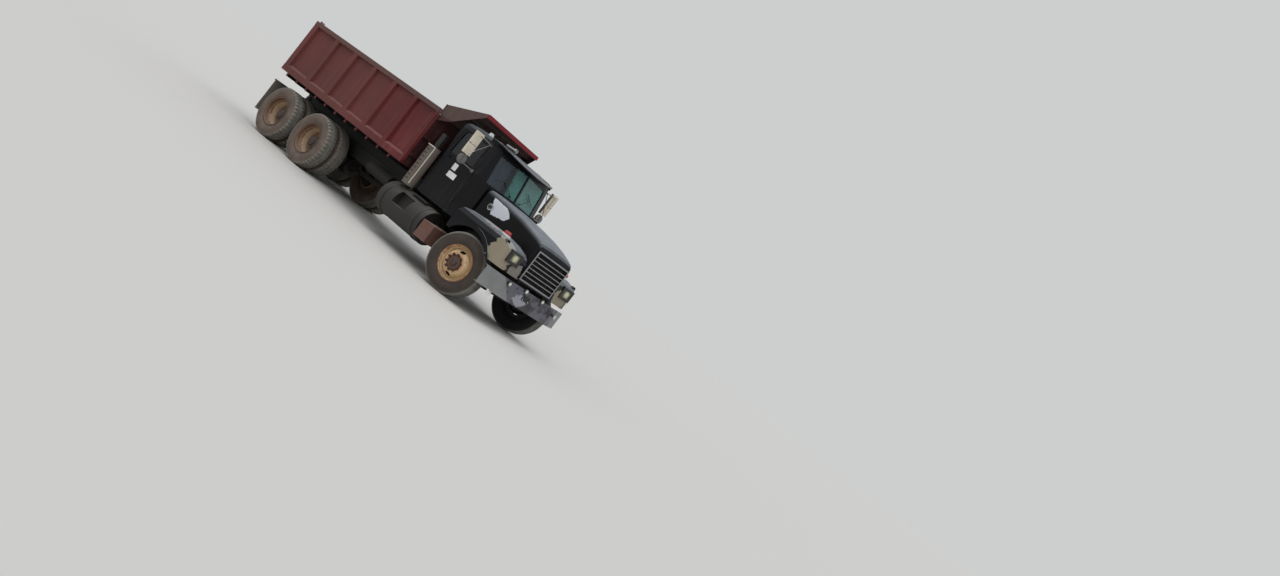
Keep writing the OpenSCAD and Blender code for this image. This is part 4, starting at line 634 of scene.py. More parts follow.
def glass_look(name, colour, alpha, teal=False):
    finish = Finish(name, colour, 0.05)
    if teal:
        finish.cover(finish.ramp(finish.x, -0.42, -0.36), "232A30", 0.05)
        finish.cover(finish.ramp(finish.x, -0.29, -0.23), "467770", 0.05)
        finish.cover(finish.ramp(finish.x, 0.02, 0.10), "5C8F86", 0.05, 0.5)
        rear_window = finish.ramp(finish.y, FRONT_AXLE + 1.4, FRONT_AXLE + 1.5)
        finish.cover(rear_window, "14171A", 0.05)
    finish.tone(2.2, 0.8, 1.15)
    finish.shader.inputs["Alpha"].default_value = alpha
    finish.shader.inputs["IOR"].default_value = 1.5
    return finish.done()


glass = glass_look("window_glass", "364049", 0.72, True)
dark_glass = glass_look("side_glass", "14171A", 0.78)

# %% [markdown]
# Tyre rubber is dark grey where it is clean and nearly as pale as the ground where it isn't. Dust sits on
# the sidewall in rings, so its mask follows the distance from the axle as the rims' does. The front tyres'
# inner walls lie in the shade of the arches, and that shade is painted on them as near black.
# %% Rubber
RINGS = 260.0


def rubber_look(name, axle, turn, wall_dust, share, wall_shade_side=0):
    """share is how dusty the side wall is. The last argument is -1 or 1 for a tyre whose inboard wall gets
    painted shade.
    """
    finish = Finish(name, "221F1D", 0.85)
    along, radius = wheel_place(finish, axle, turn)
    rings = ((radius * RINGS).math("SINE") + 1.0) * 0.12
    wall = rings + finish.noise(6, 5) * 0.9
    finish.cover(wall.math("MULTIPLY", share, clamp=True), wall_dust, 0.95)
    if wall_shade_side:
        # Painted shade: the inboard wall in the arch is near black.
        paint_inboard_shade(finish, along, wall_shade_side, -0.08, 0.0, "131318")
    tread = finish.ramp(radius, 0.50, 0.535) * finish.noise(8, 5)
    finish.cover(tread, "8B8B82", 0.95, 0.95)
    finish.bump(60, 0.4)
    return finish.done()


for side, sign in SIDES:
    name = f"front_tyre_{side}"
    looks[name] = rubber_look(name, box_middle(name), STEER, "5A4C42", 0.6, sign)
    for axle in ("mid", "rear"):
        name = f"{axle}_tyres_{side}"
        looks[name] = rubber_look(name, box_middle(name), 0, "7A6A5E", 1.0)

# %% [markdown]
# Each CAD node that stays gets its finish here, by name. The tyres and rims have theirs already. A node
# that has no finish stops the script, so none is forgotten.
# %% Dress the CAD nodes
WORN_BY = (
    (cab_black, "cab_shell sun_visor door_right door_left"), (hood_black, "hood"), (grille_look, "grille"),
    (bumper_look, "front_bumper"), (mirror_look, "mirror_right mirror_left"), (glass, "cab_glass"),
    (dark_glass, "door_glass_right door_glass_left"), (bed_red, "bed_sides"), (wall_red, "bulkhead"),
    (guard_red, "cab_guard"), (gate_red, "tailgate"), (bed_inside, "bed_floor"),
    (looks["frame_black_and_shade"], "chassis_frame cross_members radiator air_tanks tail_lamps hoist_barrel"),
    (looks["axle_iron"], "front_axle_beam rear_axles prop_shafts engine steering_gear knuckle_right"),
    (looks["axle_iron"], "knuckle_left tie_rod drag_link pitman_arm"),
    (looks["hoist_steel"], "hoist_stage_1 hoist_stage_2 hoist_stage_3"),
    (looks["spring_steel"], "front_springs rear_springs"), (looks["lamp_black"], "headlamps"),
    (looks["tank_black"], "fuel_tanks exhaust_stack"), (looks["box_brown"], "battery_boxes"),
    (looks["shield_tan"], "heat_shield"), (looks["flap_rubber"], "mudflaps"),
    (looks["seat_vinyl"], "seats"), (looks["dash_grey"], "dashboard"),
)
for material, names in WORN_BY:
    for name in names.split():
        looks[name] = material


def wear(obj, material):
    obj.data.materials.clear()
    obj.data.materials.append(material)
    for face in obj.data.polygons:
        face.material_index = 0


for name, obj in nodes.items():
    wear(obj, looks[name])
print("dressed", len(nodes), "nodes")

# %% [markdown]
# The next pieces are modelled as by hand: a primitive is added, shaped in edit mode, and finished with
# modifiers. An operator acts on all that is selected, so the helper that picks vertices, edges or faces by
# their place or direction first clears the selection. The others move, turn or extrude what is picked, or
# clean up a mesh.
# %% Modelling tools


def settle(name):
    """Names the new object and moves its place and size into its mesh."""
    piece = bpy.context.object
    piece.name = piece.data.name = name
    bpy.ops.object.transform_apply(location=True, rotation=True, scale=True)
    return piece


def pick(piece, kind, test):
    """Selects only what test(middle, direction) is true for, and leaves the piece in edit mode."""
    bpy.context.view_layer.objects.active = piece
    mode("EDIT")
    bpy.ops.mesh.select_mode(type=kind)
    bpy.ops.mesh.select_all(action="DESELECT")
    mode("OBJECT")
    mesh = piece.data
    if kind == "FACE":
        for face in mesh.polygons:
            face.select = test(face.center, face.normal)
    elif kind == "EDGE":
        for edge in mesh.edges:
            start, end = (mesh.vertices[i].co for i in edge.vertices)
            edge.select = test((start + end) / 2, (end - start).normalized())
    else:
        for vertex in mesh.vertices:
            vertex.select = test(vertex.co, vertex.normal)
    mode("EDIT")


def push(distance):
    """Extrudes the selected faces along their normal."""
    bpy.ops.mesh.extrude_region_shrink_fatten(TRANSFORM_OT_shrink_fatten={"value": distance})


def shift(offset):
    bpy.ops.transform.translate(value=offset)


def turn_all(piece, angle, axis, offset=(0, 0, 0)):
    """Turns a whole mesh about an axis through the origin, then moves it."""
    pick(piece, "FACE", lambda _, normal: True)
    if angle:
        # With no window open, this operator counts its angle the other way.
        bpy.ops.transform.rotate(value=-angle, orient_axis=axis, center_override=(0, 0, 0))
    shift(offset)
    mode("OBJECT")


def close_up(piece):
    """Merges doubles and points all faces outwards, after a spin or a mirror."""
    bpy.context.view_layer.objects.active = piece
    mode("EDIT")
    bpy.ops.mesh.select_all(action="SELECT")
    bpy.ops.mesh.remove_doubles(threshold=0.0002)
    bpy.ops.mesh.normals_make_consistent(inside=False)
    mode("OBJECT")


print("meshes before modelling:", len(bpy.data.meshes))

# %% [markdown]
# A round part with a section of its own is turned on a lathe, and the same is done here: the section is
# drawn as one vertex that is extruded from point to point, closed, and spun about the wheel's axle. The
# other helpers finish a piece and let it ride on its body, copy it, mirror it to the other side of the
# truck, and join several pieces into one.
# %% Turned parts and copies


def draw_outline(name, points):
    """One vertex, extruded from point to point. The outline's last point joins its first."""
    deselect()
    bpy.ops.mesh.primitive_plane_add(size=0.01, location=points[0])
    piece = settle(name)
    mode("EDIT")
    bpy.ops.mesh.select_mode(type="VERT")
    bpy.ops.mesh.select_all(action="SELECT")
    bpy.ops.mesh.merge(type="CENTER")
    for start, end in zip(points, points[1:]):
        bpy.ops.mesh.extrude_region_move(TRANSFORM_OT_translate={"value": Vector(end) - Vector(start)})
    mode("OBJECT")
    pick(piece, "VERT", lambda place, _: min((place - Vector(points[0])).length,
                                             (place - Vector(points[-1])).length) < 1e-5)
    bpy.ops.mesh.edge_face_add()
    return piece


def revolve(name, section, steps):
    """Spins a section about the X axis. Its points are x and radius, in turn."""
    piece = draw_outline(name, [(x, 0, radius) for x, radius in section])
    bpy.ops.mesh.select_all(action="SELECT")
    bpy.ops.mesh.spin(steps=steps, angle=math.tau, center=(0, 0, 0), axis=(1, 0, 0))
    close_up(piece)
    return piece


def choose(piece):
    """Makes a piece the only one that is selected."""
    deselect()
    piece.select_set(True)
    bpy.context.view_layer.objects.active = piece


def complete(piece, look, body, smooth=35):
    """Applies the modifiers, smooths, paints, and lets the piece ride on its body."""
    choose(piece)
    for modifier in list(piece.modifiers):
        bpy.ops.object.modifier_apply(modifier=modifier.name)
    bpy.ops.object.shade_smooth_by_angle(angle=math.radians(smooth))
    wear(piece, look)
    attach(piece, body)
    return piece


def copy_piece(piece, name):
    """A copy with a mesh of its own."""
    choose(piece)
    bpy.ops.object.duplicate(linked=False)
    return settle(name)


def mirrored(piece):
    """A copy on the right side of the truck, of a piece on its left side."""
    choose(piece)
    bpy.ops.object.duplicate(linked=False)
    bpy.ops.transform.mirror(constraint_axis=(True, False, False), orient_type="GLOBAL",
                             center_override=(0, 0, 0))
    copy = settle(piece.name.replace("left", "right"))
    close_up(copy)
    return copy


def joined(pieces, name):
    """Joins finished meshes into one piece."""
    choose(pieces[0])
    for piece in pieces:
        piece.select_set(True)
    bpy.ops.object.join()
    return settle(name)


print("front wheels are turned by", round(math.degrees(STEER)), "degrees")

# %% [markdown]
# A tyre is a body of revolution with a pattern cut into it. Its section is drawn as one outline from bead
# to bead and spun about the axle. The steered wheels have four plain grooves round the tread, which are
# part of the outline. The driven wheels have lugs: a row of faces along each shoulder is pushed in, one
# step in three, so that blocks are left between them. The outer form is the CAD tyre's, so nothing grows.
# %% Tyres
TYRE_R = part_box("front_tyre_right")[1][2] / 2
BEAD_HALF = 0.110
RIM_R = 0.311
TREAD_STEPS = 126
GROOVE = 0.014
SHOULDER_HALF, LUG_DEPTH, LUG_ZONE = 0.045, 0.016, 0.026
DUAL_PITCH = 0.336


def tyre_section(grooves):
    """The section's points, from one bead over the tread to the other, with grooves at these offsets."""
    wall = [(BEAD_HALF, RIM_R + 0.001), (BEAD_HALF, RIM_R + 0.018), (0.126, RIM_R + 0.030),
            (0.133, RIM_R + 0.060), (0.136, RIM_R + 0.064), (0.139, RIM_R + 0.110),
            (0.1395, RIM_R + 0.125), (0.136, TYRE_R - 0.085), (0.134, TYRE_R - 0.081),
            (0.130, TYRE_R - 0.058), (0.120, TYRE_R - 0.022), (0.110, TYRE_R - 0.008),
            (0.096, TYRE_R - 0.001)]
    tread = []
    for middle in grooves:
        tread += [(middle + 0.006, TYRE_R), (middle + 0.004, TYRE_R - GROOVE),
                  (middle - 0.004, TYRE_R - GROOVE), (middle - 0.006, TYRE_R)]
    return wall + tread + [(-x, radius) for x, radius in reversed(wall)]


def between_lugs(place, _):
    """True for one face in three along each shoulder, a step further on the left one."""
    step = round(math.atan2(place.y, place.z) / math.tau * TREAD_STEPS - 0.5) % 3
    on_shoulder = math.hypot(place.y, place.z) > TYRE_R - LUG_ZONE and abs(place.x) > SHOULDER_HALF
    return on_shoulder and step == (1 if place.x > 0 else 0)


steer_pattern = revolve("steer_pattern", tyre_section((0.054, 0.018, -0.018, -0.054)), TREAD_STEPS)
drive_pattern = revolve("drive_pattern", tyre_section((0.030, -0.030)), TREAD_STEPS)
pick(drive_pattern, "FACE", between_lugs)
push(-LUG_DEPTH)
mode("OBJECT")
for side, _ in SIDES:
    name = f"front_tyre_{side}"
    tyre = copy_piece(steer_pattern, f"front_tread_{side}")
    turn_all(tyre, STEER, "Z", box_middle(name))
    complete(tyre, looks[name], f"wheel_front_{side}")
    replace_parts(tyre, f"front_tyre_{side}")
    for axle in ("mid", "rear"):
        name = f"{axle}_tyres_{side}"
        pair = []
        for end in (-1, 1):
            pair.append(copy_piece(drive_pattern, f"{axle}_tread_{side}_{end}"))
            turn_all(pair[-1], 0, "Z", box_middle(name) + Vector((end * DUAL_PITCH / 2, 0, 0)))
        tyre = joined(pair, f"{axle}_treads_{side}")
        complete(tyre, looks[name], f"wheels_{axle}_{side}")
        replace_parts(tyre, f"{axle}_tyres_{side}")
for pattern in (steer_pattern, drive_pattern):
    bpy.data.objects.remove(pattern)
print("tyre faces", len(tyre.data.polygons))

# %% [markdown]
# The next pieces take their places from the truck's drawing, whose stations count in millimetres from the
# front axle towards the tail. One helper turns such a place into metres here. Small parts start as a block
# or a disc, and their outer face is inset and pushed in steps, because a bare disc has neither a rim nor a
# lens. A bevel then rounds their edges, as a press or a mould does.
# %% Blocks and discs
ALONG = {"X": (0, math.pi / 2, 0), "Y": (math.pi / 2, 0, 0), "Z": (0, 0, 0)}
FORWARDS, UPWARDS, DOWNWARDS = (0, -1, 0), (0, 0, 1), (0, 0, -1)


def at(x, station, z):
    """A place of the drawing, in millimetres, as a point in metres."""
    return Vector((x / 1000, FRONT_AXLE + station / 1000, z / 1000))


def add_block(name, low, high):
    """A cube primitive from one corner to the other."""
    deselect()
    bpy.ops.mesh.primitive_cube_add(size=1, location=[(a + b) / 2 for a, b in zip(low, high)],
                                    scale=[b - a for a, b in zip(low, high)])
    return settle(name)


def add_disc(name, centre, radius, depth, axis="Y", sides=32):
    """A closed cylinder primitive whose middle is at the centre."""
    deselect()
    bpy.ops.mesh.primitive_cylinder_add(vertices=sides, radius=radius, depth=depth, location=centre,
                                        rotation=ALONG[axis])
    return settle(name)


def block_on(name, seat, low, high):
    """A block whose corners are given as offsets from its seat."""
    return add_block(name, seat + Vector(low), seat + Vector(high))


def face_pick(piece, outwards):
    """Selects the faces that look in one direction, and stays in edit mode."""
    towards = Vector(outwards)
    pick(piece, "FACE", lambda _, normal: normal.dot(towards) > 0.9)


def press(piece, outwards, steps):
    """Insets and pushes the face that looks outwards. Each step is an inset and a push."""
    face_pick(piece, outwards)
    for inset, distance in steps:
        bpy.ops.mesh.inset(thickness=inset)
        push(distance)
    mode("OBJECT")


def soften(piece, width, segments=2, angle=30):
    """Rounds the sharp edges with a bevel modifier."""
    bevel = piece.modifiers.new("rounding", "BEVEL")
    bevel.width = width
    bevel.segments = segments
    bevel.limit_method = "ANGLE"
    bevel.angle_limit = math.radians(angle)


print("the drawing's zero lies at y =", round(at(0, 0, 0).y, 4))

# %% [markdown]
# Behind each square headlamp bezel sits a pressed glass lens with a clouded, yellowed middle. The lens
# starts as a block in the CAD bezel's opening. Its front is inset in three steps, which leave a flange with
# a groove inside it and raise the middle. The flutes that spread the beam are fine upright ridges, so they
# are part of the finish.
# %% Headlamp lenses
FLUTES = 620.0
for side, sign in SIDES:
    middle = at(sign * 850, -800, 1208)
    finish = Finish(f"lens_{side}", "6F6D58", 0.18)
    finish.cover(finish.fade(finish.distance(middle), 0.03, 0.085), "C6C3A0", 0.2)
    finish.relief((finish.x * FLUTES).math("SINE"), 1.2, 0.8)
    lens = block_on(f"lens_{side}", middle, (-0.094, -0.003, -0.067), (0.094, 0.008, 0.067))
    press(lens, FORWARDS, ((0.009, -0.003), (0.004, 0.004), (0.024, 0.002)))
    soften(lens, 0.0015)
    complete(lens, finish.done(), "hood_body")

# %% [markdown]
# The dark opening above the near headlamp is where a turn signal sat. A short dark cup with a rim closes
# it. The red marker lamp with its pale rim stands on top of each fender. The fender is curved, so a helper
# finds where a straight line first meets the CAD hood, and the lamps are seated there.
# %% Fender lamps


def touch(node, start, towards):
    """The first point where a line from start meets a CAD node."""
    found, point, _, _ = nodes[node].ray_cast(Vector(start), Vector(towards))
    return point if found else Vector(start)


for side, sign in SIDES:
    seat = touch("hood", at(sign * 1090, -1200, 1360), (0, 1, 0))
    cup = add_disc(f"signal_cup_{side}", seat + Vector((0, 0.012, 0)), 0.045, 0.06, "Y", 24)
    press(cup, FORWARDS, ((0.010, -0.045),))
    complete(cup, looks["lamp_black"], "hood_body")
    top = touch("hood", at(sign * 950, -420, 1900), DOWNWARDS)
    foot = block_on(f"marker_foot_{side}", top, (-0.045, -0.07, -0.02), (0.045, 0.07, 0.03))
    soften(foot, 0.006)
    complete(foot, looks["blank_plate"], "hood_body")
    cap = block_on(f"marker_cap_{side}", top, (-0.037, -0.06, 0.025), (0.037, 0.06, 0.075))
    face_pick(cap, UPWARDS)
    bpy.ops.mesh.inset(thickness=0.012)
    shift((0, 0, 0.015))
    mode("OBJECT")
    soften(cap, 0.008, 3)
    complete(cap, looks["lamp_red"], "hood_body")
    print(side, "marker lamp at", [round(value, 3) for value in top])

# %% [markdown]
# A round fitting with a pale rim sits on each side of the hood, in front of the door. It is a short disc
# whose face is inset to a rim and pushed in, and it is seated where a level line meets the hood's side.
# %% Hood fittings
for side, sign in SIDES:
    seat = touch("hood", at(sign * 1400, 470, 1640), (-sign, 0, 0))
    fitting = add_disc(f"hood_fitting_{side}", seat, 0.048, 0.05, "X")
    press(fitting, (sign, 0, 0), ((0.012, -0.016), (0.010, 0.008)))
    soften(fitting, 0.003)
    complete(fitting, looks["gasket"], "hood_body")
    ring = add_disc(f"fitting_ring_{side}", seat + Vector((sign * 0.008, 0, 0)), 0.062, 0.02, "X")
    press(ring, (sign, 0, 0), ((0.012, -0.004),))
    complete(ring, looks["chrome"], "hood_body")
    print(side, "hood fitting at", [round(value, 3) for value in seat])

# %% [markdown]
# Splash aprons stand on the frame rails beside the engine and keep the wheels' mud off it. They also close
# the view through the wheel arch. Each is a thin panel with rounded corners and a pressed field. The plates
# further on are made in the same way, so one helper makes them all. Behind the front wheel's disc a thin
# guard ring closes the gap round the brake drum. Its section is a small rectangle that is spun as the
# tyre's was.
# %% Aprons and guard rings
RING_SECTION = ((0.062, 0.214), (0.058, 0.214), (0.058, 0.286), (0.062, 0.286))


def plate(name, low, high, outwards, corner=0.008):
    """A thin plate with rounded corners, a raised border and a slightly sunk middle."""
    piece = add_block(name, low, high)
    through = Vector(outwards)
    pick(piece, "EDGE", lambda _, direction: abs(direction.dot(through)) > 0.9)
    bpy.ops.mesh.bevel(offset=corner, segments=3, affect="EDGES")
    mode("OBJECT")
    press(piece, outwards, ((corner * 0.6, -0.0006),))
    return piece


for side, sign in SIDES:
    inner, outer = sorted((sign * 453, sign * 458))
    low, high = at(inner, -520, 1030), at(outer, 740, 1430)
    apron = plate(f"splash_apron_{side}", low, high, (sign, 0, 0), 0.06)
    complete(apron, looks["frame_black_and_shade"], "chassis")
    section = [(-sign * x, radius) for x, radius in RING_SECTION]
    ring = revolve(f"guard_ring_{side}", section, 64)
    turn_all(ring, STEER, "Z", box_middle(f"front_tyre_{side}"))
    complete(ring, looks["gasket"], f"wheel_front_{side}")
print("apron", [round(value, 3) for value in apron.dimensions])

# %% [markdown]
# Ten wheel nuts hold each front wheel's disc to its hub. One nut is modelled: a six-sided disc whose outer
# face is inset and pushed out to make the stud's end. It is copied round the bolt circle, and a level line
# from outside finds how far out the disc's face lies. The ring of nuts is then turned and moved with the
# wheel.
# %% Wheel nuts
BOLT_CIRCLE_R = 0.1425
NUTS = 10
for side, sign in SIDES:
    hub = box_middle(f"front_tyre_{side}")
    outwards = Vector((sign * math.cos(STEER), sign * math.sin(STEER), 0))
    face = touch(f"front_rim_{side}", hub + outwards * 0.4 + Vector((0, 0, BOLT_CIRCLE_R)), -outwards)
    reach = sign * (face - hub).dot(outwards)
    nut = add_disc(f"nut_{side}", (reach + sign * 0.010, 0, BOLT_CIRCLE_R), 0.019, 0.022, "X", 6)
    press(nut, (sign, 0, 0), ((0.007, 0.008),))
    ring = [nut]
    for step in range(1, NUTS):
        ring.append(copy_piece(nut, f"nut_{side}_{step}"))
        turn_all(ring[-1], math.tau * step / NUTS, "X")
    nuts = joined(ring, f"front_nuts_{side}")
    turn_all(nuts, STEER, "Z", hub)
    complete(nuts, looks["nut_rust"], f"wheel_front_{side}")
    print(side, "disc face", round(abs(reach) * 1000, 1), "mm outside the wheel's middle")

# %% [markdown]
# A fine dark screen stands behind the grille and keeps stones off the radiator. It is a panel whose face is
# inset to a frame and cut into cells, and the cells are pushed back a little. A helper cuts them, because
# the tread plates on the fuel tanks are made the same way. The screen rides on the hood.
# %% Grille screen


def cut_cells(cuts, border, depth):
    """Divides the selected face into cells, and pushes each one back inside its border."""
    bpy.ops.mesh.subdivide(number_cuts=cuts)
    bpy.ops.mesh.inset(thickness=border, use_individual=True)
    push(-depth)
    mode("OBJECT")


screen = add_block("grille_screen", at(-478, -784, 985), at(478, -777, 1556))
face_pick(screen, FORWARDS)
bpy.ops.mesh.inset(thickness=0.02)
cut_cells(12, 0.004, 0.003)
complete(screen, looks["gasket"], "hood_body")
print("screen faces", len(screen.data.polygons))

# %% [markdown]
# The four round lamps in the bumper have bright rims. Each rim is a low ring that hugs the lamp. Between
# the lamps a small dark plate hangs on two bright bolts, and a pale bare plate hangs below the near end.
# Nothing is written on either.
# %% Bumper fittings
for number, (x, z) in enumerate(LAMPS):
    rim = add_disc(f"lamp_rim_{number}", (x, at(0, -877, 0).y, z), 0.039, 0.014)
    press(rim, FORWARDS, ((0.004, -0.004),))
    soften(rim, 0.001)
    complete(rim, looks["chrome"], "chassis")
tag = plate("bumper_plate", at(-165, -855, 700), at(50, -850, 805), FORWARDS)
complete(tag, looks["dark_plate"], "chassis")
for number, x in enumerate((-135, 20)):
    bolt = add_disc(f"plate_bolt_{number}", at(x, -858, 722), 0.013, 0.010, "Y", 6)
    press(bolt, FORWARDS, ((0.003, 0.002),))
    complete(bolt, looks["chrome"], "chassis")
tag = plate("hanging_plate", at(-960, -806, 440), at(-820, -801, 560), FORWARDS)
complete(tag, looks["blank_plate"], "chassis")
print("lamp rims", len(LAMPS), "and two plates")

# %% [markdown]
# Each seat is a steel pedestal with a padded cushion and a padded back in vinyl. A pad starts as a block
# that is a little smaller than the finished pad, with its edges bevelled. The back leans because its top
# face is shifted. The pad is remeshed into small even faces, and Blender's cloth with pressure inside fills
# it as foam does. How far a point may move is capped, so the pad keeps its form. The far seat is a mirrored
# copy.
# %% Seats
VOXEL, PRESSURE, MOVE_CAP = 0.009, 4, 0.012
CLOTH_FRAMES = 20


def fill_out(pad):
    """Remeshes a pad, lets pressure fill its skin, caps each point's move and subdivides it once."""
    bpy.context.view_layer.objects.active = pad
    remesh = pad.modifiers.new("even faces", "REMESH")
    remesh.mode = "VOXEL"
    remesh.voxel_size = VOXEL
    bpy.ops.object.modifier_apply(modifier=remesh.name)
    before = [vertex.co.copy() for vertex in pad.data.vertices]
    cloth = pad.modifiers.new("foam", "CLOTH")
    cloth.settings.use_pressure = True
    cloth.settings.uniform_pressure_force = PRESSURE
    cloth.settings.effector_weights.gravity = 0
    cloth.point_cache.frame_end = CLOTH_FRAMES
    for frame_number in range(1, CLOTH_FRAMES + 1):
        scene.frame_set(frame_number)
    bpy.ops.object.modifier_apply(modifier=cloth.name)
    for vertex, start in zip(pad.data.vertices, before):
        move = vertex.co - start
        if move.length > MOVE_CAP:
            vertex.co = start + move * (MOVE_CAP / move.length)
    scene.frame_set(1)
    smooth = pad.modifiers.new("smooth", "SUBSURF")
    smooth.levels = smooth.render_levels = 1


def model_pad(name, low, high, lean, round_off):
    """A leaning block with bevelled edges, filled out as foam."""
    pad = add_block(name, low, high)
    face_pick(pad, UPWARDS)
    shift((0, lean, 0))
    mode("OBJECT")
    pick(pad, "EDGE", lambda _, direction: True)
    bpy.ops.mesh.bevel(offset=round_off, segments=3, affect="EDGES")
    mode("OBJECT")
    fill_out(pad)
    return pad


cushion = model_pad("cushion_left", at(345, 1255, 1412), at(795, 1640, 1520), 0, 0.035)
backrest = model_pad("backrest_left", at(358, 1645, 1515), at(782, 1715, 2165), 0.142, 0.03)
pedestal = add_block("pedestal_left", at(400, 1300, 1142.4), at(740, 1620, 1412))
face_pick(pedestal, UPWARDS)
bpy.ops.mesh.inset(thickness=-0.02)
shift((0, 0, -0.03))
mode("OBJECT")
soften(pedestal, 0.012)
for pad in (cushion, backrest):
    complete(pad, looks["seat_vinyl"], "chassis", 60)
    far = complete(mirrored(pad), looks["seat_vinyl"], "chassis", 60)
    for piece in (pad, far):
        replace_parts(piece, "seats")
complete(pedestal, looks["seat_frame"], "chassis")
complete(mirrored(pedestal), looks["seat_frame"], "chassis")
print("cushion faces", len(cushion.data.polygons))

# %% [markdown]
# Each half of the windscreen has a wiper: an arm from a pivot in the cowl and a blade that lies along the
# glass. All three are round bars between two points. The windscreen leans back and sweeps back to both
# sides, so a helper gives the glass's depth at any place.
# %% Wipers
PANE_Y, PANE_Z, PANE_HALF = FRONT_AXLE + 0.746, 1.955, 0.745
SWEEP, RAKE = 0.165, math.radians(10)
WIPER_RODS = {
    # name: x, z and how far in front of the glass, at the start and at the end, and the radius
    "arm": ((0.16, 1.99, 0.02), (0.40, 2.16, 0.025), 0.005),
    "blade": ((0.24, 2.235, 0.012), (0.57, 2.085, 0.012), 0.006),
    "pivot": ((0.16, 1.99, -0.01), (0.16, 1.99, 0.03), 0.014),
}


def on_glass(x, z, proud):
    """A point proud metres in front of the windscreen. x and z are in metres."""
    swept = SWEEP * abs(x) / PANE_HALF
    raked = (z - PANE_Z) * math.tan(RAKE)
    return Vector((x, PANE_Y + swept + raked - proud, z))


def rod(name, start, end, radius):
    """A round bar between two points, with its ends rounded over."""
    deselect()
    bpy.ops.mesh.primitive_cylinder_add(vertices=12, radius=radius, depth=(end - start).length,
                                        location=(start + end) / 2,
                                        rotation=(end - start).to_track_quat("Z", "Y").to_euler())
    piece = settle(name)
    soften(piece, radius * 0.4, 2, 60)
    return piece


for side, sign in SIDES:
    for name, (start, end, radius) in WIPER_RODS.items():
        start, end = (on_glass(sign * x, z, proud) for x, z, proud in (start, end))
        complete(rod(f"{name}_{side}", start, end, radius), looks["gasket"], "chassis")
        print(name, side, round((end - start).length, 3), "m long")

# %% [markdown]
# Two bare white plates are stuck to the near door. A marker lamp stands near each edge of the roof, and a
# horn lies on the roof above the near pane. The horn is a disc that is extruded along its length, wide at
# its mouth.
# %% Door plates and roof fittings
DOOR_PLATES = {
    # name: station and height of its middle, width and height of the plate, in millimetres
    "door_plate_upper": (1464, 1820, 120, 130),
    "door_plate_lower": (1411, 1666, 230, 110),
}
HORN_AXIS = Vector((0, 0, 0.045))
skin = touch("door_right", at(-1400, 1464, 1820), (1, 0, 0)).x
for name, (station, z, wide, tall) in DOOR_PLATES.items():
    low, high = at(0, station - wide / 2, z - tall / 2), at(0, station + wide / 2, z + tall / 2)
    low.x, high.x = skin - 0.002, skin + 0.002
    complete(plate(name, low, high, (-1, 0, 0), 0.006), looks["blank_plate"], "door_right_body")
for side, sign in SIDES:
    roof = touch("cab_shell", at(sign * 800, 1430, 3000), DOWNWARDS)
    lamp = block_on(f"roof_lamp_{side}", roof, (-0.05, -0.035, -0.01), (0.05, 0.035, 0.055))
    face_pick(lamp, UPWARDS)
    bpy.ops.transform.resize(value=(0.7, 0.6, 1), center_override=roof)
    mode("OBJECT")
    soften(lamp, 0.01, 3)
    complete(lamp, looks["blank_plate"], "chassis")
roof = touch("cab_shell", at(-400, 1220, 3000), DOWNWARDS)
horn = add_disc("roof_horn", roof + Vector((0, 0.09, 0.045)), 0.020, 0.12, "Y", 24)
face_pick(horn, FORWARDS)
for reach, wider in ((0.09, 1.15), (0.05, 1.35), (0.02, 1.25)):
    push(reach)
    bpy.ops.transform.resize(value=(wider, 1, wider), center_override=roof + HORN_AXIS)
bpy.ops.mesh.inset(thickness=0.004)
push(-0.05)
mode("OBJECT")
complete(horn, looks["chrome"], "chassis", 60)
for name, place in (("horn_foot_front", 0.0), ("horn_foot_rear", 0.12)):
    foot = block_on(name, roof, (-0.012, place - 0.01, -0.01), (0.012, place + 0.01, 0.03))
    soften(foot, 0.004)
    complete(foot, looks["lamp_black"], "chassis")
print("horn", round(horn.dimensions.y, 3), "m long")

# %% [markdown]
# The fuel tanks are rolled drums with dished, rounded ends, two broad straps and a step cut into the outer
# side. The drum is a cylinder whose end faces are inset and pushed, so the rim rounds over before the dish.
# The step well is cut by a boolean modifier. Each tank has a filler neck with a cap, and stands on brackets
# from the frame, and a tread plate lies on top. The left tank is modelled, and the right one is its
# mirrored copy.
# %% Fuel tanks
TANK_X, TANK_Z, TANK_R = 880, 690, 0.320
RAIL_X = 430.5
drum = add_disc("tank_left", at(TANK_X, 1775, TANK_Z), TANK_R, 1.29, "Y", 64)
for way in (-1, 1):
    press(drum, (0, way, 0), ((0.05, -0.012),))
soften(drum, 0.035, 5, 50)
well = add_block("step_well", at(1030, 1600, 660), at(1260, 2000, 920))
soften(well, 0.015)
cut = drum.modifiers.new("step well", "BOOLEAN")
cut.object, cut.operation = well, "DIFFERENCE"
parts = [complete(drum, looks["tank_black"], "chassis", 40)]
bpy.data.objects.remove(well)
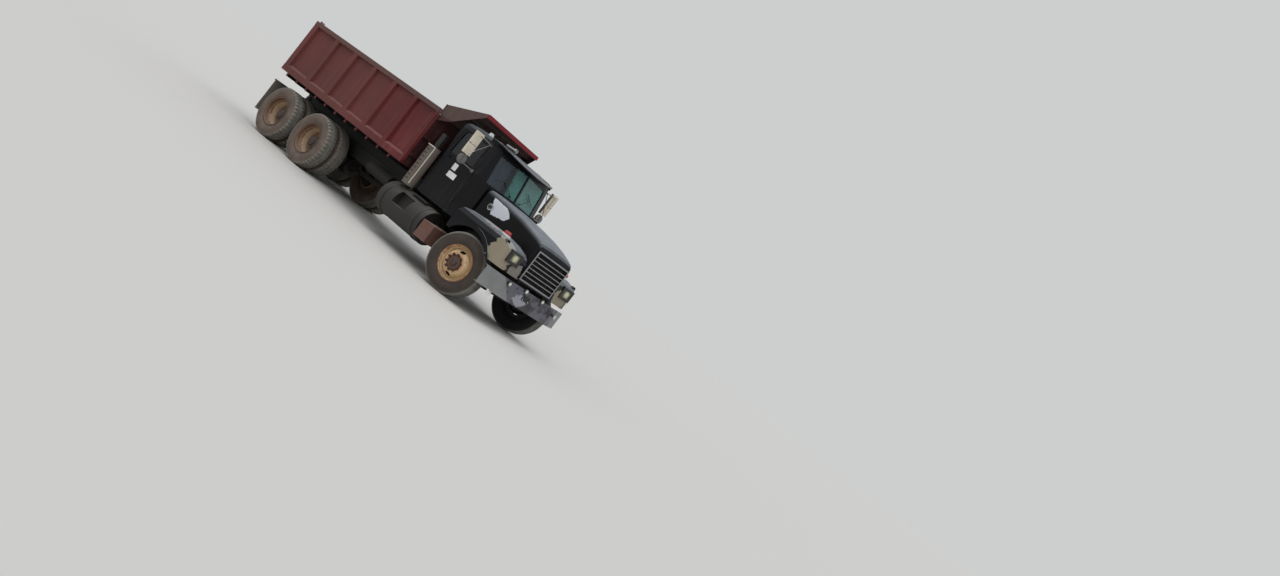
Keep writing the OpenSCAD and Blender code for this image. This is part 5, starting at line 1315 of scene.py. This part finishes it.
for number, station in enumerate((1300, 2290)):
    strap = add_disc(f"strap_{number}_left", at(TANK_X, station, TANK_Z), TANK_R + 0.008, 0.07, "Y", 64)
    soften(strap, 0.003)
    parts.append(complete(strap, looks["tank_black"], "chassis", 40))
    bracket = add_block(f"bracket_{number}_left", at(RAIL_X, station - 35, 590), at(640, station + 35, 880))
    face_pick(bracket, DOWNWARDS)
    bpy.ops.transform.resize(value=(0.6, 1, 1), center_override=at(RAIL_X, station, 590))
    mode("OBJECT")
    soften(bracket, 0.008)
    parts.append(complete(bracket, looks["frame_black_and_shade"], "chassis"))
tread = add_block("tank_tread_left", at(780, 1400, 1000), at(1070, 1850, 1030))
face_pick(tread, UPWARDS)
cut_cells(5, 0.008, 0.012)
parts.append(complete(tread, looks["frame_black_and_shade"], "chassis"))
neck = add_disc("tank_neck_left", at(TANK_X, 2120, 1015), 0.055, 0.05, "Z")
press(neck, UPWARDS, ((-0.012, 0.022), (0.02, 0.006)))
parts.append(complete(neck, looks["tank_black"], "chassis"))
for piece in parts:
    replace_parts(piece, "fuel_tanks")
    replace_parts(complete(mirrored(piece), piece.data.materials[0], "chassis", 40), "fuel_tanks")
print("tank faces", len(drum.data.polygons))

# %% [markdown]
# The tail lamps are two round lenses in each housing, red inboard and amber outboard. The disc of each is
# inset to a rim and pushed back, and a low dome is raised inside the rim. The mirrors get their silvered
# panes, which face the driver, so they lie on the rear face of each head. The mirrors stand on the doors
# and swing with them.
# %% Tail lamps and mirror panes
LENS_R, LENS_DEPTH = 0.046, 0.024
LENS_STEPS = ((LENS_R * 0.14, -LENS_DEPTH * 0.3), (LENS_R * 0.12, LENS_DEPTH * 0.2),
              (LENS_R * 0.35, LENS_DEPTH * 0.15))
for side, sign in SIDES:
    for x, colour in ((160, "tail_red"), (290, "amber")):
        lens = add_disc(f"tail_{colour}_{side}", at(sign * x, 6912, 845), LENS_R, LENS_DEPTH)
        press(lens, (0, 1, 0), LENS_STEPS)
        complete(lens, looks[colour], "chassis")
    low, high = at(sign * 1270 - 84, 1205, 2122), at(sign * 1270 + 84, 1210, 2548)
    pane = plate(f"mirror_pane_{side}", low, high, (0, 1, 0), 0.012)
    complete(pane, looks["silvered"], f"door_{side}_body")
print("mirror pane", [round(value, 3) for value in pane.dimensions])

# %% [markdown]
# The last cell prints the size of the finished model.
# %% Finish
low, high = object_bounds()
print("size", [round(b - a, 3) for a, b in zip(low, high)])
